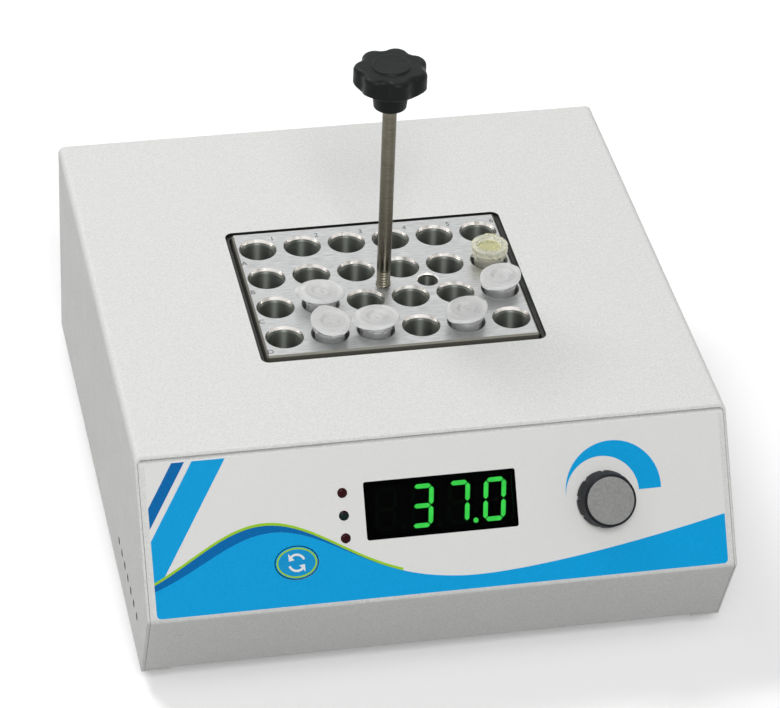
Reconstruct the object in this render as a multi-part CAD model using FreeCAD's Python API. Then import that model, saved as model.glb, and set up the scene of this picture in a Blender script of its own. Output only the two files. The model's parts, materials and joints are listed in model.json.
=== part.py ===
"""Dry bath incubator: a heated aluminium tube block in a folded steel cabinet with a sloped panel.

Millimetres. X runs to the right, Y to the back and Z up from the bench. The origin is the middle of the
footprint, at bench level.
"""
import FreeCAD, Part
import math
import os

os.makedirs("parts", exist_ok=True)

V = FreeCAD.Vector
UP = V(0, 0, 1)
BACK = V(0, 1, 0)
RIGHT = V(1, 0, 0)

# Cabinet
cabinet_width = 202.0
cabinet_depth = 223.0  # back edge to the fold of the sloped panel
body_height = 78.0  # apron edge to the top
top_setback = 30.0  # the top ends this far behind the fold
fold_height = 31.5  # fold above the apron edge
apron_setback = 14.0  # apron edge behind the fold
sheet = 1.0
cover_bend = 2.5
tray_bend = 0.8  # inside radius of the tray's folds
seam_gap = 0.15
front_seam = 0.8  # dark joint between the top and the panel
bottom_return = 10.0
back_return = 9.0
rear_stand_proud = 3.0  # inlet, rocker and screws behind the back edge
fold_rounding = 0.07  # the bend takes this off the front of the fold
front_round = 0.8  # outer front edges of the cover
tray_back_height = 16.0
tray_flange = 12.0  # under the front of the top
overrun = 1.0  # cutting tools run this far past a face

# Feet
foot_height = 8.0
foot_radius = 8.0
foot_inset_x = 22.0
foot_inset_back = 24.0
foot_inset_front = 26.0
foot_taper = 1.2
foot_edge = 0.8
foot_counterbore_radius = 4.2
foot_counterbore_depth = 4.5
foot_screw_reach = 3.0  # past the cabinet's floor

# Screws
screw_radius = 1.5
screw_head_radius = 2.8
screw_head_height = 1.8
screw_slot_length = 2.8
screw_slot_width = 0.8
screw_slot_depth = 0.9
screw_clearance = 0.2
cover_screw_length = 5.0
bottom_screw_inset_back = 50.0
bottom_screw_inset_front = 62.0
back_screw_inset = 14.0  # from the top and the bottom

# Heating block
block_height = 50.0
block_proud = 0.8
block_setback = 106.3  # cabinet's back edge to the block's middle
block_chamfer = 0.6
block_gap = 2.3  # opening in the cover round the block
opening_corner = 3.0
well_columns = 6
well_rows = 4
well_pitch_x = 16.0
well_pitch_y = 18.2
well_end_margin = 7.75  # outer wells to the block's ends
well_side_margin = 10.8
well_radius = 5.95
well_rim_radius = 6.7
well_rim_depth = 2.0
drill_point = 59.0  # half the angle of the drill's tip, in degrees
thermometer_x = 16.0
thermometer_radius = 3.6
thermometer_depth = 34.0
hole_chamfer = 0.4

# Lifter
rod_radius = 2.45
rod_thread_depth = 12.0
rod_clearance = 0.05
rod_chamfer = 0.5
tapped_depth = 20.0
knob_underside = 83.0  # lobes above the block
knob_radius = 12.9
knob_valley_radius = 11.2
knob_lobe_radius = 4.6
knob_lobes = 7
knob_turn = -86.0
knob_thickness = 6.0
knob_edge = 1.8
knob_boss_radius = 7.0
knob_boss_height = 0.6
knob_boss_taper = 0.5
knob_boss_edge = 0.5
knob_cone_height = 5.0  # from the lobes down to the hub
knob_cone_flare = 0.4  # the cone is this much wider than the lobes
knob_hub_radius = 6.2
knob_hub_height = 4.7
knob_hub_taper = 0.5
knob_socket_depth = 9.0

# Microtubes
tube_radius = 5.4
tube_wall = 1.0
tube_narrowing = 0.4  # the straight part narrows by this towards the cone
tube_flare = 0.3  # the bore opens by this towards the mouth
tube_length = 38.6
tube_mouth = 4.2  # above the block
tube_cone_length = 17.0
tube_tip_radius = 1.8
tube_seat_gap = 0.1  # tip to the drilled bottom
tube_rim_radius = 6.0
tube_rim_height = 1.9
cap_thickness = 1.4
cap_gap = 0.2
cap_edge = 0.3
cap_half_width = 6.7
cap_front = 9.1  # blunt front lip, from the tube's axis
cap_front_bow = 0.8
cap_recess_radius = 3.5
cap_recess_depth = 0.7
cap_recess_taper = 0.9
cap_ring_width = 0.6  # raised ring round the recess
cap_ring_height = 0.2
cap_plug_depth = 2.6
cap_plug_clearance = 0.35
cap_plug_taper = 0.5
cap_plug_wall = 0.9
round_cap_radius = 6.5
round_cap_thickness = 2.2
round_cap_recess_radius = 4.6
round_cap_recess_depth = 1.2
round_cap_recess_taper = 0.4
hinge_reach = 8.2
hinge_width = 4.0
hinge_thickness = 0.7
hinge_drop = 0.3  # the tube's half below its mouth
hinge_gap = 0.6  # the tube's half ends before the fold
lid_hinge_gap = 0.2
filled_tubes = [  # column, row, and the way the lid's hinge points, in degrees from the right
    (2, "C", -8.0),
    (2, "D", -80.0),
    (3, "D", 12.0),
    (5, "D", 40.0),
    (6, "C", 42.0),
    (6, "B", 75.0),
]
round_cap_places = [(6, "B")]
row_letters = "ABCD"

# Heated well under and round the block
well_wall = 1.6
well_play = 0.9  # block to well, each side
well_floor = 7.0
well_rim_gap = 0.3
well_lug = 9.0
well_lug_thickness = 3.0
well_outer_corner = 4.0
well_inner_corner = 2.0
heater_thickness = 2.0
heater_inset = 4.0
clamp_plate_thickness = 1.2
jacket_thickness = 8.0
jacket_gap = 0.3
jacket_lift = 1.0  # above the well's lugs
jacket_drop = 6.0  # below the well's rim
jacket_corner = 6.0
probe_radius = 1.9
probe_clearance = 0.1
probe_length = 26.0
probe_tail = 6.0  # left outside the well
probe_end_gap = 0.5
probe_jacket_gap = 0.7
cutout_x = 20.0
cutout_radius = 8.0
cutout_height = 7.0
cutout_tab_pitch = 8.0
cutout_tab_width = 6.0
cutout_tab_thickness = 0.8
cutout_tab_length = 4.0
bracket_width = 24.0
bracket_thickness = 1.5
bracket_gap = 2.0  # from the well's wall
bracket_shelf = 10.0
bracket_foot = 11.5

# Sloped control panel, placed across from the middle and up from the fold
overlay_side_gap = 2.1
overlay_thickness = 0.5
overlay_low = 0.9
overlay_top_gap = 2.74  # under the top of the panel
overlay_corner = 1.5
window_x = 0.5
window_h = 30.3
window_length = 51.8
window_height = 19.6
window_corner = 0.8
window_ledge = 1.2  # metal left under the window's edge
module_margin = 0.4
module_corner = 1.0
module_depth = 7.5
header_inset = 6.0
header_width = 2.5
header_spacing = 10.5
digit_count = 4
digit_pitch = 12.4
digit_height = 14.6
digit_width = 7.6
digit_stroke = 1.5
digit_slant = 0.10
digit_gap = 0.25  # between the ends of two bars
digit_depth = 0.25
point_radius = 0.85
lamp_x = -32.6
lamp_heights = [37.2, 29.6, 22.0]
lamp_radius = 1.6
lamp_clearance = 0.1
lamp_length = 7.0
lamp_proud = 0.9
lamp_flange = 0.5
lamp_flange_thickness = 1.0
lamp_dome = 0.7
key_x = -49.7
key_h = 15.5
key_length = 14.4
key_height = 10.8
key_thickness = 0.8
key_edge = 0.3
key_clearance = 0.3
key_travel = 0.5
key_proud = 0.25
key_stem_radius = 2.0
key_stem_gap = 0.1  # over the pressed switch
switch_size = 6.0
switch_height = 3.4
switch_corner = 0.5
dial_x = 56.5
dial_h = 26.9
dial_radius = 9.75
dial_face_radius = 8.05
dial_height = 8.3
dial_gap = 0.6
dial_skirt = 2.0
dial_shoulder = 0.85  # the knob's top is wider than its face by this
dial_top_edge = 0.6
dial_notches = 9
dial_notch_radius = 1.0
dial_notch_offset = 0.6  # notch centres outside the skirt
dial_notch_turn = 12.0
dial_cap_thickness = 0.8
dial_cap_proud = 0.25
dial_cap_edge = 0.2
dial_nut_gap = 1.6
bush_radius = 3.5
bush_clearance = 0.1
bush_proud = 1.0  # past the nut
encoder_width = 14.0
encoder_corner = 1.0
shaft_radius = 3.0
shaft_clearance = 0.05
shaft_depth = 3.5  # behind the panel's sheet
shaft_end_gap = 0.5
shaft_cover = 2.2  # of the knob, over the shaft's end
nut_width = 10.0
nut_thickness = 2.0
board_gap = 13.0  # control board behind the panel
board_thickness = 1.6
board_length = 150.0
board_height = 44.0
board_low = 3.5
board_corner = 2.0
board_hole_inset = 5.0
standoff_radius = 2.6

# Back panel with the inlet and the power switch
inlet_side_inset = 43.0
inlet_z = 42.0
inlet_flange_width = 50.0
inlet_flange_height = 34.0
inlet_flange_thickness = 2.2
inlet_flange_corner = 4.0
inlet_body_width = 28.0
inlet_body_height = 31.0
inlet_body_depth = 24.0
inlet_clearance = 0.3
inlet_screw_pitch = 40.0
inlet_screw_length = 6.0
socket_width = 24.2
socket_height = 16.0
socket_depth = 15.0
socket_corner = 5.0
socket_drop = 5.2  # socket centre below the inlet centre
pin_width = 2.0
pin_height = 4.0
pin_length = 12.0
pin_pitch = 14.0
pin_offset = 2.0
pin_chamfer = 0.4
tag_thickness = 0.8
tag_length = 7.0
fuse_width = 22.0
fuse_height = 6.6
fuse_rise = 9.6
fuse_depth = 20.0
fuse_clearance = 0.25
fuse_end_gap = 0.5
fuse_tube_radius = 2.2
fuse_length = 18.0
fuse_floor = 1.2
fuse_side_wall = 1.0
fuse_front_wall = 3.0
fuse_back_wall = 1.5
fuse_lip_size = (8.0, 1.4)
fuse_lip_proud = 0.6
inlet_to_rocker = 44.0
rocker_z = 42.0
rocker_width = 13.0
rocker_height = 19.0
rocker_frame_border = 1.6
rocker_frame_proud = 1.6
rocker_frame_corner = 1.0
rocker_body_depth = 15.0
rocker_hole_clearance = 0.2
rocker_pocket_depth = 7.5
rocker_clearance = 0.3
rocker_angle = 9.0  # to each side of level
rocker_wall = 1.0
rocker_pivot = 2.0  # below the border's foot
rocker_crown = 3.0  # raised end above the border's foot, when level
rocker_dip = 1.5  # middle of the rocker above the border's foot
rocker_skirt = 1.4
louvre_count = 7
louvre_pitch = 6.0
louvre_length = 26.0
louvre_height = 2.4
louvre_side_inset = 49.0
louvre_z = 34.0
side_vent_count = 7
side_vent_pitch = 7.0
side_vent_radius = 1.5
side_vent_inset = 24.7  # first vent behind the fold
side_vent_z = 23.0

# Mains board
power_board_length = 84.0
power_board_depth = 40.0
power_board_thickness = 1.6
power_board_side_gap = 8.0
power_board_back_gap = 7.7
power_board_rise = 6.0
power_board_hole_inset = 4.0
transformer_size = (34.0, 28.0, 24.0)
transformer_offset = -20.0
winding_inset = 3.0
heatsink_size = (22.0, 12.0, 24.0)
heatsink_offset = 24.0
heatsink_spine = 2.0
heatsink_fins = 5
fin_thickness = 1.5

# Places that follow from the sizes above
body_bottom = foot_height
body_top = body_bottom + body_height
half_width = cabinet_width / 2
back_y = (cabinet_depth - fold_rounding - rear_stand_proud) / 2
fold_y = back_y - cabinet_depth
fold_z = body_bottom + fold_height
top_front_y = fold_y + top_setback
apron_y = fold_y + apron_setback
top_under = body_top - sheet
panel_rise = body_height - fold_height
panel_length = math.hypot(top_setback, panel_rise)
overlay_high = panel_length - overlay_top_gap
panel_angle = math.degrees(math.atan2(panel_rise, top_setback))
panel_up = V(0, top_setback, panel_rise) / panel_length
panel_out = V(0, -panel_rise, top_setback) / panel_length
inner_half = half_width - sheet
block_length = (well_columns - 1) * well_pitch_x + 2 * well_end_margin
block_width = (well_rows - 1) * well_pitch_y + 2 * well_side_margin
block_y = back_y - block_setback
block_top = body_top + block_proud
block_bottom = block_top - block_height
well_inner_x = block_length / 2 + well_play
well_inner_y = block_width / 2 + well_play
well_outer_x = well_inner_x + well_wall
well_outer_y = well_inner_y + well_wall
well_bottom = block_bottom - well_floor
well_top = top_under - well_rim_gap
clamp_bottom = well_bottom - heater_thickness - clamp_plate_thickness
probe_z = block_bottom - well_floor / 2
inlet_face = back_y - sheet
inlet_x = -half_width + inlet_side_inset
rocker_x = inlet_x + inlet_to_rocker
louvre_x = half_width - louvre_side_inset
power_board_x = inner_half - power_board_side_gap - power_board_length / 2
power_board_y = inlet_face - power_board_back_gap - power_board_depth / 2
side_vent_first = fold_y + side_vent_inset
fuse_low = fuse_rise - fuse_height / 2
dial_foot = overlay_thickness + dial_gap
dial_top = dial_foot + dial_height
shaft_top = dial_top - shaft_cover
lid_bottom = tube_mouth + cap_gap
tip_drop = (well_radius - tube_tip_radius) / math.tan(math.radians(drill_point))
well_depth = tube_length - tube_mouth + tube_seat_gap - tip_drop
knob_bottom = knob_underside - knob_cone_height - knob_hub_height
screw_hole = screw_radius + screw_clearance


def box(x0, y0, z0, x1, y1, z1):
    return Part.makeBox(x1 - x0, y1 - y0, z1 - z0, V(x0, y0, z0))


def cylinder(radius, height, at=V(0, 0, 0), axis=UP):
    return Part.makeCylinder(radius, height, at, axis)


def fuse(shapes):
    whole = shapes[0]
    if len(shapes) > 1:
        whole = whole.fuse(shapes[1:])
    return whole.removeSplitter()


def cut(shape, tools):
    return shape.cut(tools).removeSplitter()


def edges_along(shape, axis, keep):
    """Straight edges parallel to an axis whose middle passes the test."""
    found = []
    for edge in shape.Edges:
        if len(edge.Vertexes) != 2:
            continue
        a, b = edge.Vertexes[0].Point, edge.Vertexes[1].Point
        step = b - a
        if step.Length > 1e-6 and step.cross(axis).Length < 1e-6 * step.Length:
            if edge.Curve.TypeId == "Part::GeomLine" and keep((a + b) / 2):
                found.append(edge)
    return found


def rim_at(shape, height):
    """Edges that lie level at a height."""
    return [
        e for e in shape.Edges
        if abs(e.BoundBox.ZMin - height) < 0.01 and abs(e.BoundBox.ZMax - height) < 0.01
    ]


def rounded_prism(length, width, height, corner, at=V(0, 0, 0)):
    """Upright block with rounded corners, standing on its middle."""
    solid = Part.makeBox(length, width, height, V(-length / 2, -width / 2, 0))
    solid = solid.makeFillet(corner, edges_along(solid, UP, lambda p: True))
    solid.translate(at)
    return solid


def prism_of(points, height):
    return Part.Face(Part.makePolygon(points + [points[0]])).extrude(V(0, 0, height))


def oval_prism(length, width, height):
    ellipse = Part.Ellipse(V(0, 0, 0), length / 2, width / 2)
    face = Part.Face(Part.Wire(ellipse.toShape()))
    return face.extrude(V(0, 0, height))


def round_slot(length, width, height):
    """Slot with round ends, standing on its middle."""
    reach = (length - width) / 2
    bar = Part.makeBox(2 * reach, width, height, V(-reach, -width / 2, 0))
    return fuse([bar] + [cylinder(width / 2, height, V(side * reach, 0, 0)) for side in (-1, 1)])


def revolve(profile):
    """Solid of revolution about Z from (radius, height) pairs."""
    points = [V(r, 0, z) for r, z in profile]
    face = Part.Face(Part.makePolygon(points + [points[0]]))
    return face.revolve(V(0, 0, 0), UP, 360)


def extrude_profile(points, x0, x1):
    """Profile of (y, z) pairs, carried from x0 to x1."""
    corners = [V(x0, y, z) for y, z in points]
    face = Part.Face(Part.makePolygon(corners + [corners[0]]))
    return face.extrude(V(x1 - x0, 0, 0))


def offset_line(points, distance):
    """The polyline moved sideways to its left by a distance, with mitred corners."""
    moved = []
    for i, (y, z) in enumerate(points):
        normals = []
        for j in (i - 1, i):
            if 0 <= j < len(points) - 1:
                dy = points[j + 1][0] - points[j][0]
                dz = points[j + 1][1] - points[j][1]
                size = math.hypot(dy, dz)
                normals.append((-dz / size, dy / size))
        ny = sum(n[0] for n in normals) / len(normals)
        nz = sum(n[1] for n in normals) / len(normals)
        scale = distance / (ny * ny + nz * nz)
        moved.append((y + ny * scale, z + nz * scale))
    return moved


def bent_sheet(outside, thickness, radius, x0, x1):
    """Sheet folded along a polyline of (y, z) points, its thickness to the right of the line."""
    inside = offset_line(outside, -thickness)
    solid = extrude_profile(outside + inside[::-1], x0, x1)
    for line, bend in ((outside, radius + thickness), (inside, radius)):
        for y, z in line[1:-1]:
            near = edges_along(solid, RIGHT, lambda p: math.hypot(p.y - y, p.z - z) < 0.05)
            solid = solid.makeFillet(bend, near)
    return solid


def on_panel(shape, x, h, out=0.0):
    """Place a shape made flat, face up, on the sloped panel: across, up from the fold, and proud of it."""
    turn = FreeCAD.Rotation(RIGHT, panel_angle)
    place = V(x, fold_y, fold_z) + panel_up * h + panel_out * out
    moved = shape.copy()
    moved.Placement = FreeCAD.Placement(place, turn).multiply(moved.Placement)
    return moved


def on_back(shape, x, z, y=back_y):
    """Place a shape made flat, face up, on the back, with its right on the right of someone behind."""
    turn = FreeCAD.Rotation(V(-1, 0, 0), UP, BACK, "XYZ")
    moved = shape.copy()
    moved.Placement = FreeCAD.Placement(V(x, y, z), turn).multiply(moved.Placement)
    return moved


def screw(length):
    """Pan head screw along Z, the head's seat at zero and the thread below."""
    head = cylinder(screw_head_radius, screw_head_height)
    head = head.makeFillet(screw_head_height / 2, rim_at(head, screw_head_height))
    shank = cylinder(screw_radius, length, V(0, 0, -length))
    slots = []
    for turn in (0, 90):
        slot = Part.makeBox(
            screw_slot_length, screw_slot_width, screw_slot_depth,
            V(-screw_slot_length / 2, -screw_slot_width / 2, screw_head_height - screw_slot_depth))
        slot.rotate(V(0, 0, 0), UP, turn)
        slots.append(slot)
    return cut(fuse([head, shank]), slots)


def turned(shape, axis, degrees, at):
    moved = shape.copy()
    moved.rotate(V(0, 0, 0), axis, degrees)
    moved.translate(at)
    return moved


def save(name, shapes):
    if not isinstance(shapes, list):
        shapes = [shapes]
    solids = [solid for shape in shapes for solid in shape.Solids]
    whole = solids[0] if len(solids) == 1 else Part.Compound(solids)
    whole.exportStep("parts/" + name + ".step")
    print(name, len(solids), "solids", round(sum(s.Volume for s in solids), 1), "mm3")


# Where the fasteners go
foot_places = [
    V(sx * (half_width - foot_inset_x), y, 0)
    for sx in (-1, 1)
    for y in (back_y - foot_inset_back, apron_y + foot_inset_front)
]
return_middle = half_width - sheet - (bottom_return - sheet) / 2
bottom_screw_places = [
    V(sx * return_middle, y, body_bottom - sheet)
    for sx in (-1, 1)
    for y in (back_y - bottom_screw_inset_back, apron_y + bottom_screw_inset_front)
]
back_screw_x = half_width - back_return / 2
back_screw_places = [
    V(sx * back_screw_x, back_y, z)
    for sx in (-1, 1)
    for z in (body_bottom + back_screw_inset, body_top - back_screw_inset)
]


def screw_bores(places, axis):
    """Tools for clearance holes through up to three sheets that a screw joins."""
    length = 3 * sheet + 2 * overrun
    return [cylinder(screw_hole, length, at - axis * overrun, axis) for at in places]


def silhouette(bottom):
    """Side outline of the cabinet, down to a height."""
    slope = apron_setback / fold_height
    return [
        (back_y, bottom),
        (back_y, body_top),
        (top_front_y, body_top),
        (fold_y, fold_z),
        (apron_y + (body_bottom - bottom) * slope, bottom),
    ]


def inside_cover(gap):
    """Room inside the cover's top and side walls, less a gap all round."""
    x = inner_half - gap
    room = box(-x, fold_y - overrun, body_bottom, x, back_y - sheet, top_under - gap)
    upper_edges = edges_along(room, BACK, lambda p: p.z > body_bottom + sheet)
    return room.makeFillet(cover_bend - sheet, upper_edges)


def front_edges(shell):
    """Edges of the cabinet's block that run up its sides and along its top, round the front faces."""
    found = []
    for edge in shell.Edges:
        room = edge.BoundBox
        at_side = min(abs(room.XMin), abs(room.XMax)) > half_width - 0.01
        if room.YMax < top_front_y + 0.01 and (at_side or room.ZMax > body_top - 0.01):
            found.append(edge)
    return found


def top_cover():
    """Top and both side walls folded from one sheet, with returns along the bottom and the back."""
    wall_bottom = body_bottom - sheet
    shell = extrude_profile(silhouette(wall_bottom), -half_width, half_width)
    top_edges = edges_along(shell, BACK, lambda p: p.z > body_top - 0.01)
    shell = shell.makeFillet(cover_bend, top_edges)
    fold = edges_along(shell, RIGHT, lambda p: p.y < fold_y + 0.01)
    shell = shell.makeFillet(tray_bend + sheet, fold)
    shell = shell.makeFillet(front_round, front_edges(shell))
    floor_cut = box(
        -half_width + bottom_return, fold_y - overrun, wall_bottom - overrun,
        half_width - bottom_return, back_y + overrun, body_bottom + overrun)
    back_cut = box(
        -half_width + back_return, back_y - sheet - overrun, wall_bottom - overrun,
        half_width - back_return, back_y + overrun, top_under)
    opening = rounded_prism(
        block_length + 2 * block_gap, block_width + 2 * block_gap, sheet + 2 * overrun,
        opening_corner, V(0, block_y, top_under - overrun))
    tools = [inside_cover(0.0), floor_cut, back_cut, opening]
    for i in range(side_vent_count):
        at = V(-half_width - overrun, side_vent_first + i * side_vent_pitch, side_vent_z)
        tools.append(cylinder(side_vent_radius, cabinet_width + 2 * overrun, at, RIGHT))
    return cut(shell, tools + screw_bores(bottom_screw_places, UP) + screw_bores(back_screw_places, -BACK))


def panel_openings(window, deep, under):
    """Tools for the openings of the sloped panel, starting under a level."""
    key_hole = oval_prism(key_length + 2 * key_clearance, key_height + 2 * key_clearance, deep)
    level = under - overrun
    tools = [on_panel(window, window_x, window_h, level), on_panel(key_hole, key_x, key_h, level)]
    for h in lamp_heights:
        tools.append(on_panel(cylinder(lamp_radius + lamp_clearance, deep), lamp_x, h, level))
    tools.append(on_panel(cylinder(bush_radius + bush_clearance, deep), dial_x, dial_h, level))
    return tools


def base_tray():
    """Floor, apron, sloped panel and top flange folded from one sheet, with screw lugs at the back."""
    slope_top = body_top - sheet - front_seam
    y_top = top_front_y - (sheet + front_seam) * top_setback / panel_rise
    outline = [
        (back_y - 2 * sheet, body_bottom + tray_back_height),
        (back_y - 2 * sheet, body_bottom),
        (apron_y, body_bottom),
        (fold_y, fold_z),
        (y_top, slope_top),
        (y_top + tray_flange, slope_top),
    ]
    x = inner_half - seam_gap
    tray = bent_sheet(outline, sheet, tray_bend, -x, x).common(inside_cover(seam_gap))
    floor_places = [at + UP * body_bottom for at in foot_places] + bottom_screw_places
    tools = screw_bores(floor_places, UP) + screw_bores(back_screw_places, -BACK)
    deep = sheet + 2 * overrun
    ledge = 2 * window_ledge
    window = rounded_prism(window_length - ledge, window_height - ledge, deep, window_corner)
    return cut(tray, tools + panel_openings(window, deep, -sheet))


def rear_panel():
    """Flat panel behind the cover's back returns, pierced for the inlet, the switch and the air slots."""
    y0 = back_y - 2 * sheet
    panel = inside_cover(seam_gap).common(
        box(-half_width, y0, body_bottom, half_width, back_y - sheet, body_top))
    deep = sheet + 2 * overrun
    tools = []
    for width, height, gap, x, z in (
            (inlet_body_width, inlet_body_height, inlet_clearance, inlet_x, inlet_z),
            (rocker_width, rocker_height, rocker_hole_clearance, rocker_x, rocker_z)):
        hole = box(-width / 2 - gap, -height / 2 - gap, 0, width / 2 + gap, height / 2 + gap, deep)
        tools.append(on_back(hole, x, z, y0 - overrun))
    for i in range(louvre_count):
        slot = round_slot(louvre_length, louvre_height, deep)
        tools.append(on_back(slot, louvre_x, louvre_z + i * louvre_pitch, y0 - overrun))
    for side in (-1, 1):
        at = V(inlet_x + side * inlet_screw_pitch / 2, y0 - overrun, inlet_z)
        tools.append(cylinder(screw_hole, deep, at, BACK))
    return cut(panel, tools + screw_bores(back_screw_places, -BACK))


def front_overlay():
    """Printed film on the sloped panel, with openings for everything that comes through it."""
    length = cabinet_width - 2 * (sheet + overlay_side_gap)
    height = overlay_high - overlay_low
    middle = (overlay_high + overlay_low) / 2
    film = on_panel(rounded_prism(length, height, overlay_thickness, overlay_corner), 0, middle)
    deep = overlay_thickness + 2 * overrun
    window = rounded_prism(window_length, window_height, deep, window_corner)
    return cut(film, panel_openings(window, deep, 0.0))


def display_window():
    pane = rounded_prism(window_length, window_height, overlay_thickness, window_corner)
    return on_panel(pane, window_x, window_h)


def display_module():
    """Black seven segment block behind the window."""
    margin = 2 * module_margin
    block = rounded_prism(window_length + margin, window_height + margin, module_depth, module_corner)
    return on_panel(block, window_x, window_h, -sheet - module_depth)


SEGMENTS = {"3": "abgcd", "7": "abc", "0": "abcdef"}


def segment(name):
    """One bar of a seven segment digit, centred on the digit."""
    across = digit_width / 2 - digit_stroke / 2
    half = digit_height / 2 - digit_stroke / 2
    tip = digit_stroke / 2
    if name in "agd":
        y = {"a": half, "g": 0.0, "d": -half}[name]
        ends = (V(-across, y, 0), V(across, y, 0))
    else:
        x = across if name in "bc" else -across
        low, high = (0.0, half) if name in "bf" else (-half, 0.0)
        ends = (V(x, low, 0), V(x, high, 0))
    along = (ends[1] - ends[0]).normalize()
    side = V(-along.y, along.x, 0)
    a = ends[0] + along * digit_gap
    b = ends[1] - along * digit_gap
    points = [
        a, a + along * tip + side * tip, b - along * tip + side * tip,
        b, b - along * tip - side * tip, a + along * tip - side * tip]
    points = [V(p.x + p.y * digit_slant, p.y, 0) for p in points]
    return Part.Face(Part.makePolygon(points + [points[0]])).extrude(V(0, 0, digit_depth))


def display_digits():
    """The lit bars of 37.0 with its point, raised a hair from the module's face."""
    first = window_x - (digit_count - 1) / 2 * digit_pitch
    bars = []
    for place, figure in ((1, "3"), (2, "7"), (3, "0")):
        for name in SEGMENTS[figure]:
            bars.append(on_panel(segment(name), first + place * digit_pitch, window_h, -sheet))
    point = cylinder(point_radius, digit_depth)
    point_x = first + 2.5 * digit_pitch - digit_slant * digit_height / 2
    bars.append(on_panel(point, point_x, window_h - digit_height / 2 + digit_stroke / 2, -sheet))
    return bars


def indicator_lamps():
    lamps = []
    for h in lamp_heights:
        lamp = fuse([
            cylinder(lamp_radius, lamp_length),
            cylinder(lamp_radius + lamp_flange, lamp_flange_thickness),
        ])
        lamp = lamp.makeFillet(lamp_dome, rim_at(lamp, lamp_length))
        lamps.append(on_panel(lamp, lamp_x, h, lamp_proud - lamp_length))
    return lamps


def control_board():
    """Circuit board parallel to the panel, carrying the display, lamps, key switch and encoder."""
    board = rounded_prism(board_length, board_height, board_thickness, board_corner)
    return on_panel(board, 0, board_low + board_height / 2, -board_gap - board_thickness)


def board_spots():
    x = board_length / 2 - board_hole_inset
    heights = (board_low + board_hole_inset, board_low + board_height - board_hole_inset)
    return [(sx * x, h) for sx in (-1, 1) for h in heights]


def board_standoffs():
    length = board_gap - sheet
    return [
        on_panel(cylinder(standoff_radius, length), x, h, -sheet - length)
        for x, h in board_spots()
    ]


def lamp_holders():
    """Plastic spacers that hold the lamps off the board."""
    length = board_gap + lamp_proud - lamp_length
    return [
        on_panel(cylinder(lamp_radius + lamp_flange, length), lamp_x, h, -board_gap)
        for h in lamp_heights
    ]


def display_header():
    """Two pin strips that carry the display module on the board."""
    height = board_gap - sheet - module_depth
    half = window_length / 2 - header_inset
    strips = []
    for side in (-1, 1):
        y = side * header_spacing / 2
        strip = box(-half, y - header_width / 2, 0, half, y + header_width / 2, height)
        strips.append(on_panel(strip, window_x, window_h, -board_gap))
    return strips


def key_switch():
    body = rounded_prism(switch_size, switch_size, switch_height, switch_corner)
    return on_panel(body, key_x, key_h, -board_gap)


def mode_key():
    """Oval key in the film, with a stem that reaches the switch on the board."""
    plate = oval_prism(key_length, key_height, key_thickness)
    plate = plate.makeFillet(key_edge, rim_at(plate, key_thickness))
    back = overlay_thickness + key_proud - key_thickness
    stem_length = board_gap - switch_height - key_travel - key_stem_gap + back
    stem = cylinder(key_stem_radius, stem_length, V(0, 0, -stem_length))
    return on_panel(fuse([plate, stem]), key_x, key_h, back)


def encoder_body():
    """Rotary encoder on the board, its threaded bush through the panel."""
    case_depth = board_gap - sheet
    case = rounded_prism(encoder_width, encoder_width, case_depth, encoder_corner)
    bush_length = sheet + overlay_thickness + nut_thickness + bush_proud
    bush = cylinder(bush_radius, bush_length, V(0, 0, case_depth))
    blind = shaft_depth + shaft_end_gap
    bore = cylinder(
        shaft_radius + shaft_clearance, blind + bush_length + overrun, V(0, 0, case_depth - blind))
    return on_panel(cut(fuse([case, bush]), [bore]), dial_x, dial_h, -board_gap)


def encoder_nut():
    corner = nut_width / 2 / math.cos(math.radians(30))
    corners = []
    for i in range(6):
        a = math.radians(60 * i + 30)
        corners.append(V(corner * math.cos(a), corner * math.sin(a), 0))
    nut = cut(prism_of(corners, nut_thickness), [cylinder(bush_radius, nut_thickness)])
    return on_panel(nut, dial_x, dial_h, overlay_thickness)


def encoder_shaft():
    low = -sheet - shaft_depth
    return on_panel(cylinder(shaft_radius, shaft_top - low), dial_x, dial_h, low)


def dial_knob():
    """Black moulded knob: a flared skirt with shallow grip notches and a recess for the cap."""
    shoulder = dial_face_radius + dial_shoulder
    body = revolve([
        (0, 0), (dial_radius, 0), (dial_radius, dial_skirt),
        (shoulder, dial_height - dial_top_edge), (shoulder - dial_top_edge, dial_height),
        (0, dial_height)])
    seat = dial_height - dial_cap_thickness + dial_cap_proud
    bush_room = overlay_thickness + nut_thickness + bush_proud + dial_nut_gap / 2 - dial_foot
    tools = [
        cylinder(dial_face_radius, dial_height - seat, V(0, 0, seat)),
        cylinder(nut_width / 2 + dial_nut_gap, bush_room),
        cylinder(shaft_radius, shaft_top - dial_foot),
    ]
    ring = dial_radius + dial_notch_offset
    for i in range(dial_notches):
        a = math.radians(360.0 / dial_notches * i + dial_notch_turn)
        at = V(ring * math.cos(a), ring * math.sin(a), 0)
        tools.append(cylinder(dial_notch_radius, dial_height, at))
    return on_panel(cut(body, tools), dial_x, dial_h, dial_foot)


def dial_cap():
    cap = cylinder(dial_face_radius, dial_cap_thickness)
    cap = cap.makeFillet(dial_cap_edge, rim_at(cap, dial_cap_thickness))
    return on_panel(cap, dial_x, dial_h, dial_top - dial_cap_thickness + dial_cap_proud)


def well_place(column, row):
    """Middle of a tube well: columns from 1 at the left, rows from A at the back."""
    x = (column - (well_columns + 1) / 2) * well_pitch_x
    y = block_y + ((well_rows - 1) / 2 - row_letters.index(row)) * well_pitch_y
    return x, y


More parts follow.
